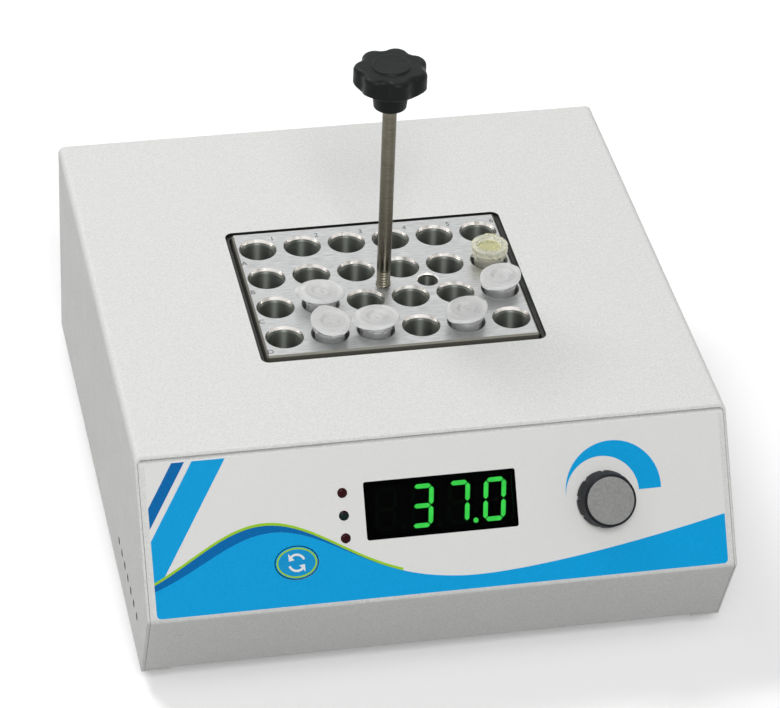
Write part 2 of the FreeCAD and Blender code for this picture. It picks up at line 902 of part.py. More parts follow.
def drilled(radius, depth, rim, rim_depth):
    """Tool for a drilled hole with a countersunk mouth, its mouth at zero."""
    point = radius / math.tan(math.radians(drill_point))
    flare = overrun * (rim - radius) / rim_depth
    return revolve([
        (0, overrun), (rim + flare, overrun), (radius, -rim_depth),
        (radius, -depth), (0, -depth - point)])


def heating_block():
    """Milled aluminium block with a grid of tube wells, a thermometer well and a tapped lifting hole."""
    block = box(
        -block_length / 2, block_y - block_width / 2, block_bottom,
        block_length / 2, block_y + block_width / 2, block_top)
    block = block.makeChamfer(block_chamfer, block.Edges)
    tools = []
    for row in row_letters:
        for column in range(1, well_columns + 1):
            x, y = well_place(column, row)
            tool = drilled(well_radius, well_depth, well_rim_radius, well_rim_depth)
            tool.translate(V(x, y, block_top))
            tools.append(tool)
    for x, radius, depth in (
            (thermometer_x, thermometer_radius, thermometer_depth),
            (0, rod_radius + rod_clearance, tapped_depth)):
        tool = drilled(radius, depth, radius + hole_chamfer, hole_chamfer)
        tool.translate(V(x, block_y, block_top))
        tools.append(tool)
    return cut(block, tools)


def lifter_rod():
    length = rod_thread_depth + knob_bottom + knob_socket_depth
    rod = cylinder(rod_radius, length)
    rod = rod.makeChamfer(rod_chamfer, rim_at(rod, 0.0) + rim_at(rod, length))
    rod.translate(V(0, block_y, block_top - rod_thread_depth))
    return rod


def star_outline(count, outer, valley, lobe):
    """Closed outline of convex lobes and hollow valleys, as arcs that meet in tangents."""
    centre = outer - lobe
    half = math.pi / count
    c = math.cos(half)
    hollow = (centre ** 2 + valley ** 2 - 2 * centre * valley * c - lobe ** 2) / (
        2 * lobe - 2 * valley + 2 * centre * c)
    far = valley + hollow

    def polar(r, a):
        return V(r * math.cos(a), r * math.sin(a), 0)

    edges = []
    for i in range(count):
        a = 2 * half * i
        lobe_middle = polar(centre, a)
        before = polar(far, a - half)
        after = polar(far, a + half)
        start = lobe_middle + (before - lobe_middle) * (lobe / (lobe + hollow))
        end = lobe_middle + (after - lobe_middle) * (lobe / (lobe + hollow))
        edges.append(Part.Arc(start, polar(outer, a), end).toShape())
        next_middle = polar(centre, a + 2 * half)
        next_start = next_middle + (after - next_middle) * (lobe / (lobe + hollow))
        edges.append(Part.Arc(end, polar(valley, a + half), next_start).toShape())
    return Part.Wire(edges)


def lifter_knob():
    """Seven lobed moulded knob, low in the middle of its top, with a cone and a hub underneath."""
    top = knob_hub_height + knob_cone_height + knob_thickness
    outline = star_outline(knob_lobes, knob_radius, knob_valley_radius, knob_lobe_radius)
    star = Part.Face(outline).extrude(V(0, 0, top))
    star = star.makeFillet(knob_edge, rim_at(star, top))
    wide = knob_radius + knob_cone_flare
    body = star.common(revolve([
        (0, knob_hub_height), (knob_hub_radius, knob_hub_height),
        (wide, knob_hub_height + knob_cone_height), (wide, top), (0, top)]))
    boss = Part.makeCone(
        knob_boss_radius, knob_boss_radius - knob_boss_taper, knob_boss_height, V(0, 0, top))
    boss = boss.makeFillet(knob_boss_edge, rim_at(boss, top + knob_boss_height))
    hub = Part.makeCone(knob_hub_radius - knob_hub_taper, knob_hub_radius, knob_hub_height)
    knob = cut(fuse([body, boss, hub]), [cylinder(rod_radius, knob_socket_depth)])
    return turned(knob, UP, knob_turn, V(0, block_y, block_top + knob_bottom))


def microtube():
    """Tapered tube on the Z axis with the block's top at zero, its hinge to the right."""
    bottom = tube_mouth - tube_length
    shoulder = bottom + tube_cone_length
    rim_foot = tube_mouth - tube_rim_height
    inner = tube_radius - tube_wall
    tube = revolve([
        (0, bottom), (tube_tip_radius, bottom), (tube_radius - tube_narrowing, shoulder),
        (tube_radius, rim_foot), (tube_rim_radius, rim_foot), (tube_rim_radius, tube_mouth),
        (inner + tube_flare, tube_mouth), (inner - tube_narrowing, shoulder),
        (tube_tip_radius - tube_wall, bottom + tube_wall), (0, bottom + tube_wall)])
    lug_top = tube_mouth - hinge_drop
    lug = box(
        tube_rim_radius - tube_wall, -hinge_width / 2, lug_top - hinge_thickness,
        hinge_reach - hinge_gap, hinge_width / 2, lug_top)
    return fuse([tube, lug])


def pointed_lid():
    """Lid drawn in to its hinge at the back and to a blunt lip at the front, with a ringed recess."""
    reach = hinge_reach - lid_hinge_gap
    half = hinge_width / 2
    corner = cap_front - cap_front_bow
    rear = (V(reach, -half, 0), V(reach, half, 0))
    front = (V(-corner, half, 0), V(-corner, -half, 0))
    outline = Part.Wire([
        Part.makeLine(rear[0], rear[1]),
        Part.Arc(rear[1], V(0, cap_half_width, 0), front[0]).toShape(),
        Part.Arc(front[0], V(-cap_front, 0, 0), front[1]).toShape(),
        Part.Arc(front[1], V(0, -cap_half_width, 0), rear[0]).toShape(),
    ])
    plate = Part.Face(outline).extrude(V(0, 0, cap_thickness))
    plate = plate.makeFillet(cap_edge, rim_at(plate, cap_thickness))
    ring = cylinder(
        cap_recess_radius + cap_ring_width, cap_ring_height, V(0, 0, cap_thickness))
    top = cap_thickness + cap_ring_height
    recess = Part.makeCone(
        cap_recess_radius - cap_recess_taper, cap_recess_radius, cap_recess_depth + cap_ring_height,
        V(0, 0, top - cap_recess_depth - cap_ring_height))
    return fuse([plate, ring]), recess


def round_lid():
    """Round lid with a wide recess, drawn out to its hinge."""
    disc = cylinder(round_cap_radius, round_cap_thickness)
    disc = disc.makeFillet(cap_edge, rim_at(disc, round_cap_thickness))
    reach = hinge_reach - lid_hinge_gap
    tab = box(0, -hinge_width / 2, 0, reach, hinge_width / 2, cap_thickness)
    recess = Part.makeCone(
        round_cap_recess_radius - round_cap_recess_taper, round_cap_recess_radius,
        round_cap_recess_depth, V(0, 0, round_cap_thickness - round_cap_recess_depth))
    return fuse([disc, tab]), recess


def tube_lid(is_round):
    """Snap lid over the tube's mouth, with a recess above and a tapered plug below."""
    plate, recess = round_lid() if is_round else pointed_lid()
    plug_radius = tube_radius - tube_wall + tube_flare - cap_plug_clearance
    plug_tip = plug_radius - cap_plug_taper
    plug = Part.makeCone(plug_tip, plug_radius, cap_plug_depth, V(0, 0, -cap_plug_depth))
    hollow = cylinder(plug_tip - cap_plug_wall, cap_plug_depth, V(0, 0, -cap_plug_depth))
    lid = cut(fuse([plate, plug]), [recess, hollow])
    lid.translate(V(0, 0, lid_bottom))
    return lid


def in_well(shape, column, row, degrees):
    x, y = well_place(column, row)
    return turned(shape, UP, degrees, V(x, y, block_top))


def heater_well():
    """Cast tub that the block drops into, with a thick heated floor and side lugs."""
    outer = rounded_prism(
        2 * well_outer_x, 2 * well_outer_y, well_top - well_bottom,
        well_outer_corner, V(0, block_y, well_bottom))
    inner = rounded_prism(
        2 * well_inner_x, 2 * well_inner_y, well_top - block_bottom,
        well_inner_corner, V(0, block_y, block_bottom))
    lugs = []
    for side in (-1, 1):
        low, high = sorted((side * well_outer_x, side * (well_outer_x + well_lug)))
        lugs.append(box(
            low, block_y - bracket_width / 2, well_bottom,
            high, block_y + bracket_width / 2, well_bottom + well_lug_thickness))
    probe = cylinder(
        probe_radius + probe_clearance, probe_length + probe_end_gap,
        V(0, block_y + well_outer_y, probe_z), V(0, -1, 0))
    return cut(fuse([outer] + lugs), [inner, probe])


def heater_mat():
    x = well_outer_x - heater_inset
    y = well_outer_y - heater_inset
    return box(-x, block_y - y, well_bottom - heater_thickness, x, block_y + y, well_bottom)


def clamp_plate():
    x = well_outer_x - heater_inset
    y = well_outer_y - heater_inset
    return box(-x, block_y - y, clamp_bottom, x, block_y + y, clamp_bottom + clamp_plate_thickness)


def thermal_cutout():
    """Round bimetal cut-out under the clamp plate, with its two tabs."""
    low = clamp_bottom - cutout_height
    body = cylinder(cutout_radius, cutout_height, V(cutout_x, block_y, low))
    tabs = []
    for side in (-1, 1):
        x = cutout_x + side * cutout_tab_pitch / 2
        tabs.append(box(
            x - cutout_tab_thickness / 2, block_y - cutout_tab_width / 2, low - cutout_tab_length,
            x + cutout_tab_thickness / 2, block_y + cutout_tab_width / 2, low))
    return fuse([body] + tabs)


def temperature_probe():
    at = V(0, block_y + well_outer_y + probe_tail, probe_z)
    return cylinder(probe_radius, probe_length + probe_tail, at, V(0, -1, 0))


def insulation_jacket():
    """Fibre blanket wrapped round the four sides of the well."""
    x = well_outer_x + jacket_gap + jacket_thickness
    y = well_outer_y + jacket_gap + jacket_thickness
    low = well_bottom + well_lug_thickness + jacket_lift
    high = well_top - jacket_drop
    outer = rounded_prism(2 * x, 2 * y, high - low, jacket_corner, V(0, block_y, low))
    inner = rounded_prism(
        2 * (x - jacket_thickness), 2 * (y - jacket_thickness), high - low,
        well_outer_corner + jacket_gap, V(0, block_y, low))
    probe = cylinder(
        probe_radius + probe_jacket_gap, jacket_thickness + 2 * overrun,
        V(0, block_y + y - jacket_thickness - overrun, probe_z), BACK)
    return cut(outer, [inner, probe])


def well_brackets():
    """Folded steel brackets that carry the well's lugs from the floor."""
    near = well_outer_x + bracket_gap
    upright = near + bracket_shelf
    inner = upright - bracket_thickness
    far = inner + bracket_foot
    floor = body_bottom + sheet
    outline = [
        (near, well_bottom), (upright, well_bottom), (upright, floor + bracket_thickness),
        (far, floor + bracket_thickness), (far, floor), (inner, floor),
        (inner, well_bottom - bracket_thickness), (near, well_bottom - bracket_thickness)]
    brackets = []
    for side in (-1, 1):
        corners = [V(side * x, block_y - bracket_width / 2, z) for x, z in outline]
        face = Part.Face(Part.makePolygon(corners + [corners[0]]))
        brackets.append(face.extrude(V(0, bracket_width, 0)))
    return brackets


def rubber_feet():
    """Four tapered rubber feet, each with a counterbore for its screw."""
    feet = []
    for at in foot_places:
        foot = Part.makeCone(foot_radius - foot_taper, foot_radius, foot_height, at)
        foot = foot.makeFillet(foot_edge, rim_at(foot, 0.0))
        well = cylinder(foot_counterbore_radius, foot_counterbore_depth, at)
        hole = cylinder(screw_radius, foot_height, at)
        feet.append(cut(foot, [well, hole]))
    return feet


def foot_screws():
    length = foot_height - foot_counterbore_depth + sheet + foot_screw_reach
    return [
        turned(screw(length), RIGHT, 180, at + UP * foot_counterbore_depth)
        for at in foot_places
    ]


def cover_screws():
    under = [turned(screw(cover_screw_length), RIGHT, 180, at) for at in bottom_screw_places]
    behind = [turned(screw(cover_screw_length), RIGHT, -90, at) for at in back_screw_places]
    return under + behind


def socket_profile(width, height, corner):
    """Mains inlet outline: a rectangle with its two upper corners cut off."""
    x = width / 2
    y = height / 2
    return [
        V(-x, -y, 0), V(x, -y, 0), V(x, y - corner, 0),
        V(x - corner, y, 0), V(-x + corner, y, 0), V(-x, y - corner, 0)]


def power_inlet():
    """Moulded mains inlet with a flange, a socket for the cord and a drawer bay for the fuse above it."""
    flange = rounded_prism(
        inlet_flange_width, inlet_flange_height, inlet_flange_thickness, inlet_flange_corner)
    x, y = inlet_body_width / 2, inlet_body_height / 2
    body = box(-x, -y, -inlet_body_depth, x, y, 0)
    socket = prism_of(socket_profile(socket_width, socket_height, socket_corner), socket_depth)
    socket.translate(V(0, -socket_drop, inlet_flange_thickness - socket_depth))
    bay_x = fuse_width / 2 + fuse_clearance
    bay = box(
        -bay_x, fuse_low - fuse_clearance, inlet_flange_thickness - fuse_depth,
        bay_x, fuse_low + fuse_height + fuse_clearance, inlet_flange_thickness)
    tools = [socket, bay]
    for side in (-1, 1):
        at = V(side * inlet_screw_pitch / 2, 0, 0)
        tools.append(cylinder(screw_hole, inlet_flange_thickness, at))
    return on_back(cut(fuse([flange, body]), tools), inlet_x, inlet_z, inlet_face)


def at_contacts(width, length, foot):
    """A flat bar at each of the inlet's three contacts, from a level outwards."""
    bars = []
    for x, y in ((-pin_pitch / 2, -pin_offset), (pin_pitch / 2, -pin_offset), (0, pin_offset)):
        y -= socket_drop
        bars.append(box(
            x - width / 2, y - pin_height / 2, foot, x + width / 2, y + pin_height / 2, foot + length))
    return bars


def inlet_pins():
    """Three flat contacts in the socket."""
    floor = inlet_flange_thickness - socket_depth
    pins = []
    for bar in at_contacts(pin_width, pin_length, floor):
        pin = bar.makeChamfer(pin_chamfer, rim_at(bar, floor + pin_length))
        pins.append(on_back(pin, inlet_x, inlet_z, inlet_face))
    return pins


def inlet_tags():
    """Solder tags of the contacts, behind the inlet."""
    tags = at_contacts(tag_thickness, tag_length, -inlet_body_depth - tag_length)
    return [on_back(tag, inlet_x, inlet_z, inlet_face) for tag in tags]


def inlet_screws():
    screws = []
    for side in (-1, 1):
        seat = V(side * inlet_screw_pitch / 2, 0, inlet_flange_thickness)
        placed = turned(screw(inlet_screw_length), UP, 45, seat)
        screws.append(on_back(placed, inlet_x, inlet_z, inlet_face))
    return screws


def fuse_drawer():
    """Pull-out drawer with a finger lip and a trough for the fuse."""
    x = fuse_width / 2
    top = fuse_low + fuse_height
    back = inlet_flange_thickness - fuse_depth + fuse_end_gap
    drawer = box(-x, fuse_low, back, x, top, inlet_flange_thickness)
    trough = box(
        -x + fuse_side_wall, fuse_low + fuse_floor, back + fuse_back_wall,
        x - fuse_side_wall, top, inlet_flange_thickness - fuse_front_wall)
    lip_width, lip_height = fuse_lip_size
    lip = box(
        -lip_width / 2, top - lip_height, inlet_flange_thickness,
        lip_width / 2, top, inlet_flange_thickness + fuse_lip_proud)
    return on_back(fuse([cut(drawer, [trough]), lip]), inlet_x, inlet_z, inlet_face)


def glass_fuse():
    z = fuse_low + fuse_floor + fuse_tube_radius
    at = V(-fuse_length / 2, z, inlet_flange_thickness - fuse_depth / 2)
    return on_back(cylinder(fuse_tube_radius, fuse_length, at, RIGHT), inlet_x, inlet_z, inlet_face)


def rocker_frame():
    """Snap-in switch body with a raised border round the rocker."""
    border = rounded_prism(
        rocker_width + 2 * rocker_frame_border, rocker_height + 2 * rocker_frame_border,
        rocker_frame_proud, rocker_frame_corner)
    x, y = rocker_width / 2, rocker_height / 2
    body = box(-x, -y, -rocker_body_depth, x, y, 0)
    pocket = box(
        -x + rocker_wall, -y + rocker_wall, -rocker_pocket_depth,
        x - rocker_wall, y - rocker_wall, rocker_frame_proud)
    return on_back(cut(fuse([border, body]), [pocket]), rocker_x, rocker_z, inlet_face)


def power_rocker():
    """Rocker with a dished face and round ends about its pivot, pressed in at the top when on."""
    radius = rocker_height / 2 - rocker_wall - rocker_clearance
    width = rocker_width - 2 * (rocker_wall + rocker_clearance)

    def end(side, height):
        return V(-width / 2, side * math.sqrt(radius ** 2 - height ** 2), height)

    crown = rocker_pivot + rocker_crown
    edges = [
        Part.Arc(end(1, -rocker_skirt), end(1, 0.0), end(1, crown)).toShape(),
        Part.Arc(end(1, crown), V(-width / 2, 0, rocker_pivot + rocker_dip), end(-1, crown)).toShape(),
        Part.Arc(end(-1, crown), end(-1, 0.0), end(-1, -rocker_skirt)).toShape(),
        Part.makeLine(end(-1, -rocker_skirt), end(1, -rocker_skirt)),
    ]
    body = Part.Face(Part.Wire(edges)).extrude(V(width, 0, 0))
    body.rotate(V(0, 0, 0), RIGHT, -rocker_angle)
    body.translate(V(0, 0, -rocker_pivot))
    return on_back(body, rocker_x, rocker_z, inlet_face)


def power_board():
    return Part.makeBox(
        power_board_length, power_board_depth, power_board_thickness,
        V(power_board_x - power_board_length / 2, power_board_y - power_board_depth / 2,
          body_bottom + sheet + power_board_rise))


def power_board_spots():
    x = power_board_length / 2 - power_board_hole_inset
    y = power_board_depth / 2 - power_board_hole_inset
    return [
        V(power_board_x + sx * x, power_board_y + sy * y, body_bottom + sheet)
        for sx in (-1, 1)
        for sy in (-1, 1)
    ]


def power_board_standoffs():
    return [cylinder(standoff_radius, power_board_rise, at) for at in power_board_spots()]


def transformer():
    """Small laminated mains transformer on the board."""
    length, depth, height = transformer_size
    x = power_board_x + transformer_offset
    y = power_board_y
    z = body_bottom + sheet + power_board_rise + power_board_thickness
    core = box(x - length / 2, y - depth / 4, z, x + length / 2, y + depth / 4, z + height)
    winding = box(
        x - length / 4, y - depth / 2, z + winding_inset,
        x + length / 4, y + depth / 2, z + height - winding_inset)
    return fuse([core, winding])


def heatsink():
    """Finned aluminium heatsink of the heater's power switch."""
    length, depth, height = heatsink_size
    x = power_board_x + heatsink_offset
    y = power_board_y
    z = body_bottom + sheet + power_board_rise + power_board_thickness
    half = heatsink_spine / 2
    spine = box(x - length / 2, y - half, z, x + length / 2, y + half, z + height)
    fins = []
    for i in range(heatsink_fins):
        left = x - length / 2 + i * (length - fin_thickness) / (heatsink_fins - 1)
        fins.append(box(left, y - depth / 2, z, left + fin_thickness, y + depth / 2, z + height))
    return fuse([spine] + fins)


NODES = {
    "top_cover": top_cover,
    "base_tray": base_tray,
    "rear_panel": rear_panel,
    "front_overlay": front_overlay,
    "display_window": display_window,
    "display_module": display_module,
    "display_digits": display_digits,
    "display_header": display_header,
    "indicator_lamps": indicator_lamps,
    "lamp_holders": lamp_holders,
    "control_board": control_board,
    "board_standoffs": board_standoffs,
    "key_switch": key_switch,
    "mode_key": mode_key,
    "encoder_body": encoder_body,
    "encoder_nut": encoder_nut,
    "encoder_shaft": encoder_shaft,
    "dial_knob": dial_knob,
    "dial_cap": dial_cap,
    "heating_block": heating_block,
    "lifter_rod": lifter_rod,
    "lifter_knob": lifter_knob,
    "heater_well": heater_well,
    "heater_mat": heater_mat,
    "heater_clamp_plate": clamp_plate,
    "thermal_cutout": thermal_cutout,
    "temperature_probe": temperature_probe,
    "insulation_jacket": insulation_jacket,
    "well_brackets": well_brackets,
    "rubber_feet": rubber_feet,
    "foot_screws": foot_screws,
    "cover_screws": cover_screws,
    "power_inlet": power_inlet,
    "inlet_pins": inlet_pins,
    "inlet_tags": inlet_tags,
    "inlet_screws": inlet_screws,
    "fuse_drawer": fuse_drawer,
    "glass_fuse": glass_fuse,
    "rocker_frame": rocker_frame,
    "power_rocker": power_rocker,
    "power_board": power_board,
    "power_board_standoffs": power_board_standoffs,
    "transformer": transformer,
    "heatsink": heatsink,
}

for node, make in NODES.items():
    save(node, make())
for column, row, degrees in filled_tubes:
    save("tube_%d%s" % (column, row), in_well(microtube(), column, row, degrees))
    lid = tube_lid((column, row) in round_cap_places)
    save("lid_%d%s" % (column, row), in_well(lid, column, row, degrees))
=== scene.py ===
import json
import math

import bmesh
import bpy
from mathutils import Matrix, Vector


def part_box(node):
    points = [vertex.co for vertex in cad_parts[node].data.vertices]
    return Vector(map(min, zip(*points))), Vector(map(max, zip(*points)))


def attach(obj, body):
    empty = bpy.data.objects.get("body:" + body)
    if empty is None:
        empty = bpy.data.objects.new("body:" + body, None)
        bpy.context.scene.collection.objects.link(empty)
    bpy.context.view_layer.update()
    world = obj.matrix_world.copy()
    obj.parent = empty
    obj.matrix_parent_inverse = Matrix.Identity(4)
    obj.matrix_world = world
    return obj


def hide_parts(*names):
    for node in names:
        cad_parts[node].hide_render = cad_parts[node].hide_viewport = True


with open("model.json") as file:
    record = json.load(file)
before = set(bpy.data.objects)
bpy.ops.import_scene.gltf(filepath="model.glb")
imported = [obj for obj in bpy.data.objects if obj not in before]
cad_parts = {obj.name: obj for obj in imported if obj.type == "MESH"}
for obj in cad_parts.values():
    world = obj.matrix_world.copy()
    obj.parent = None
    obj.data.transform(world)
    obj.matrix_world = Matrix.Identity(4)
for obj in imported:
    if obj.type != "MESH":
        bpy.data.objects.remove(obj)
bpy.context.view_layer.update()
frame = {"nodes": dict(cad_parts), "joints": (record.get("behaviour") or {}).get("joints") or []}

# Camera
# The picture looks down on the bath from its left front through a long lens, with the horizon
# tilted a little. The camera is set once here, and everything else is placed by the frame.
aim = Vector((0.0022, -0.0019, 0.060))
distance = 1.397
azimuth = math.radians(12.583)
elevation = math.radians(35.215)
tilt = math.radians(2.268)
lens_mm = 182.1


def new_object(name, data):
    """An object made of the data, put in the scene."""
    thing = bpy.data.objects.new(name, data)
    bpy.context.scene.collection.objects.link(thing)
    return thing


forward = Vector((
    math.sin(azimuth) * math.cos(elevation),
    math.cos(azimuth) * math.cos(elevation),
    -math.sin(elevation)))
level = forward.cross(Vector((0, 0, 1))).normalized()
above = level.cross(forward)
camera_right = level * math.cos(tilt) + above * math.sin(tilt)
camera_up = above * math.cos(tilt) - level * math.sin(tilt)
camera_data = bpy.data.cameras.new("camera")
camera_data.lens = lens_mm
camera_data.sensor_width = 36.0
camera_data.clip_end = 20.0
camera = new_object("camera", camera_data)
turn = Matrix((camera_right, camera_up, -forward)).transposed().to_4x4()
camera.matrix_world = Matrix.Translation(aim - forward * distance) @ turn
bpy.context.scene.camera = camera

# Bench, sky and lamps
# A plain white bench under soft studio light: an even sky, one wide lamp above the back left
# for the shadow, and one above the front for the gleam on the block's rims.
sky_light = 0.30
bench_radius = 4.0
bench_seen = 0.87
bench_bounce = 0.33  # the bench throws less light up than it shows
bench_fill = 0.20
bench_far_fill = 0.75  # at the edge, where the lamps hardly reach
lamps = [  # name, place, width, watts
    ("back_lamp", (-0.75, 0.95, 1.90), 0.8, 23.0),
    ("front_lamp", (-0.25, -2.30, 2.30), 1.2, 50.0),
]


def tint(red, green, blue):
    """A colour as the eye reads it, each part 0 to 255, as the plain values that a shader takes."""
    parts = []
    for part in (red, green, blue):
        share = part / 255
        parts.append(share / 12.92 if share <= 0.04045 else ((share + 0.055) / 1.055) ** 2.4)
    return (*parts, 1.0)


def shader_of(finish):
    return finish.node_tree.nodes["Principled BSDF"]


def new_finish(name, colour, roughness, metallic=0.0):
    """A finish of one colour and gloss, for the helpers below to add its grain and mottle to."""
    finish = bpy.data.materials.new(name)
    finish.use_nodes = True
    parts = shader_of(finish).inputs
    parts["Base Color"].default_value = tint(*colour)
    parts["Roughness"].default_value = roughness
    parts["Metallic"].default_value = metallic
    return finish


def reckon(owner, operation, *values):
    """One step of arithmetic on values, each a number or the outcome of another step."""
    step = owner.node_tree.nodes.new("ShaderNodeMath")
    step.operation = operation
    for value, socket in zip(values, step.inputs):
        if isinstance(value, float):
            socket.default_value = value
        else:
            owner.node_tree.links.new(value, socket)
    return step.outputs[0]


def spread(owner, value, low, high, start=0.3, end=0.7):
    """The value from start to end, stretched to run from low to high."""
    ranged = owner.node_tree.nodes.new("ShaderNodeMapRange")
    ranged.inputs["From Min"].default_value = start
    ranged.inputs["From Max"].default_value = end
    ranged.inputs["To Min"].default_value = low
    ranged.inputs["To Max"].default_value = high
    owner.node_tree.links.new(value, ranged.inputs["Value"])
    return ranged.outputs["Result"]


def seen_directly(owner):
    """One where the ray comes from the eye, or by a mirror or glass, and nought for soft light."""
    path = owner.node_tree.nodes.new("ShaderNodeLightPath")
    either = reckon(owner, "MAXIMUM", path.outputs["Is Camera Ray"], path.outputs["Is Glossy Ray"])
    return reckon(owner, "MAXIMUM", either, path.outputs["Is Transmission Ray"])


full_white = (1.0, 1.0, 1.0, 1.0)
bpy.context.scene.view_settings.view_transform = "Standard"
studio = bpy.data.worlds.new("studio")
bpy.context.scene.world = studio
studio.use_nodes = True
nodes, links = studio.node_tree.nodes, studio.node_tree.links
soft = nodes["Background"]
soft.inputs["Color"].default_value = full_white
soft.inputs["Strength"].default_value = sky_light
backdrop = nodes.new("ShaderNodeBackground")
backdrop.inputs["Color"].default_value = full_white
choose = nodes.new("ShaderNodeMixShader")
links.new(seen_directly(studio), choose.inputs["Fac"])
links.new(soft.outputs[0], choose.inputs[1])
links.new(backdrop.outputs[0], choose.inputs[2])
links.new(choose.outputs[0], nodes["World Output"].inputs["Surface"])

for name, place, width, watts in lamps:
    lamp_data = bpy.data.lights.new(name, "AREA")
    lamp_data.shape = "SQUARE"
    lamp_data.size = width
    lamp_data.energy = watts
    lamp = new_object(name, lamp_data)
    lamp.location = place
    lamp.rotation_euler = (aim - Vector(place)).to_track_quat("-Z", "Y").to_euler()

bench_white = new_finish("bench_white", (255, 255, 255), roughness=0.9)
nodes, links = bench_white.node_tree.nodes, bench_white.node_tree.links
bench_parts = shader_of(bench_white).inputs
bench_parts["Specular IOR Level"].default_value = 0.0
bench_parts["Emission Color"].default_value = full_white
tone = spread(bench_white, seen_directly(bench_white), bench_bounce, bench_seen, 0.0, 1.0)
links.new(tone, bench_parts["Base Color"])
bench_place = nodes.new("ShaderNodeTexCoord")
far = nodes.new("ShaderNodeVectorMath")
far.operation = "LENGTH"
links.new(bench_place.outputs["Object"], far.inputs[0])
fill = spread(bench_white, far.outputs["Value"], bench_fill, bench_far_fill, 0.0, bench_radius)
fill_seen = reckon(bench_white, "MULTIPLY", seen_directly(bench_white), fill)
links.new(fill_seen, bench_parts["Emission Strength"])

bench_mesh = bmesh.new()
bmesh.ops.create_circle(bench_mesh, cap_ends=True, segments=96, radius=bench_radius)
bench_data = bpy.data.meshes.new("bench")
bench_mesh.to_mesh(bench_data)
bench_mesh.free()
bench_data.materials.append(bench_white)
bench = new_object("bench", bench_data)

# Folded tray
# One sheet of mild steel folded up into the floor, the apron and the sloped panel, coated with
# a fine-grained pale grey powder that the cover and the rear panel share.
RIGHT, BACK, UP = Vector((1, 0, 0)), Vector((0, 1, 0)), Vector((0, 0, 1))
mm = 0.001
powder_grey = (226, 227, 225)
powder_shade = (210, 211, 208)


def noise(finish, spots_per_metre, stretch=(1.0, 1.0, 1.0), detail=3.0):
    """Cloudy noise fixed to the piece. A stretch under one draws the spots out along that axis."""
    nodes, links = finish.node_tree.nodes, finish.node_tree.links
    place = nodes.new("ShaderNodeTexCoord")
    drawn = nodes.new("ShaderNodeMapping")
    drawn.inputs["Scale"].default_value = stretch
    cloud = nodes.new("ShaderNodeTexNoise")
    cloud.inputs["Scale"].default_value = spots_per_metre
    cloud.inputs["Detail"].default_value = detail
    links.new(place.outputs["Object"], drawn.inputs["Vector"])
    links.new(drawn.outputs["Vector"], cloud.inputs["Vector"])
    return cloud.outputs["Fac"]


def change(finish, share, part, value, before=None):
    """Turns one part of the finish, its colour or a number, to the value where the share is one.
    Where the share is nought, the part stays as it was or takes the value given as before."""
    nodes, links = finish.node_tree.nodes, finish.node_tree.links
    socket = shader_of(finish).inputs[part]
    mix = nodes.new("ShaderNodeMix")
    mix.data_type = "RGBA" if part == "Base Color" else "FLOAT"
    links.new(share, mix.inputs["Factor"])
    if before is not None:
        mix.inputs["A"].default_value = before
    elif socket.is_linked:
        links.new(socket.links[0].from_socket, mix.inputs["A"])
    else:
        mix.inputs["A"].default_value = socket.default_value
    mix.inputs["B"].default_value = value
    links.new(mix.outputs["Result"], socket)


def mottle(finish, value, dark, pale):
    """Colours the finish from dark to pale as the value goes from its low to its high."""
    change(finish, spread(finish, value, 0.0, 1.0), "Base Color", tint(*pale), tint(*dark))


def vary_gloss(finish, value, low, high):
    """Lets the roughness go from low to high with the value."""
    roughness = shader_of(finish).inputs["Roughness"]
    finish.node_tree.links.new(spread(finish, value, low, high), roughness)


def emboss(finish, value, depth, strength=1.0):
    """Raises the surface by the value, up to depth in metres, over any relief it has already."""
    nodes, links = finish.node_tree.nodes, finish.node_tree.links
    normal = shader_of(finish).inputs["Normal"]
    bump = nodes.new("ShaderNodeBump")
    bump.inputs["Strength"].default_value = strength
    bump.inputs["Distance"].default_value = depth
    if normal.is_linked:
        links.new(normal.links[0].from_socket, bump.inputs["Normal"])
    links.new(value, bump.inputs["Height"])
    links.new(bump.outputs["Normal"], normal)


def dress(finish, *names):
    """Puts the finish on these pieces of the frame."""
    for name in names:
        materials = frame["nodes"][name].data.materials
        materials.clear()
        materials.append(finish)


def powder(name):
    """Powder coat: a fine orange peel, its grains a little uneven in shade."""
    coat = new_finish(name, powder_grey, roughness=0.5)
    peel = noise(coat, 1300)
    mottle(coat, peel, dark=powder_shade, pale=powder_grey)
    emboss(coat, peel, depth=0.07 * mm, strength=0.7)
    vary_gloss(coat, noise(coat, 90), low=0.44, high=0.56)
    return coat


powder_coat = powder("powder_coat")
dress(powder_coat, "base_tray")

# Feet
# Four black rubber feet under the tray's corners. Each is held by a plated screw that goes up
# through the floor, and the other screws and the dial's nut are plated in the same way.
foot_black = new_finish("foot_rubber", (34, 34, 35), roughness=0.75)
mottle(foot_black, noise(foot_black, 400), dark=(28, 28, 29), pale=(46, 46, 47))
emboss(foot_black, noise(foot_black, 2200), depth=0.03 * mm, strength=0.5)
dress(foot_black, "rubber_feet")

zinc = new_finish("bright_zinc", (196, 196, 192), roughness=0.3, metallic=1.0)
mottle(zinc, noise(zinc, 600), dark=(172, 172, 168), pale=(206, 206, 202))
vary_gloss(zinc, noise(zinc, 900), low=0.22, high=0.42)
dress(zinc, "foot_screws", "cover_screws", "inlet_screws", "encoder_nut")

# Rear panel with its inlet, fuse drawer and switch
# A coated steel plate. The inlet, the drawer and the switch's frame are black moulded plastic
# with a fine spark-eroded grain, and the pins are nickel plated.
moulding_specular = 0.14
moulding_mottle = 8  # how much paler the cloudy places are
dress(powder_coat, "rear_panel")


def paler(colour, step):
    return tuple(min(255, part + step) for part in colour)


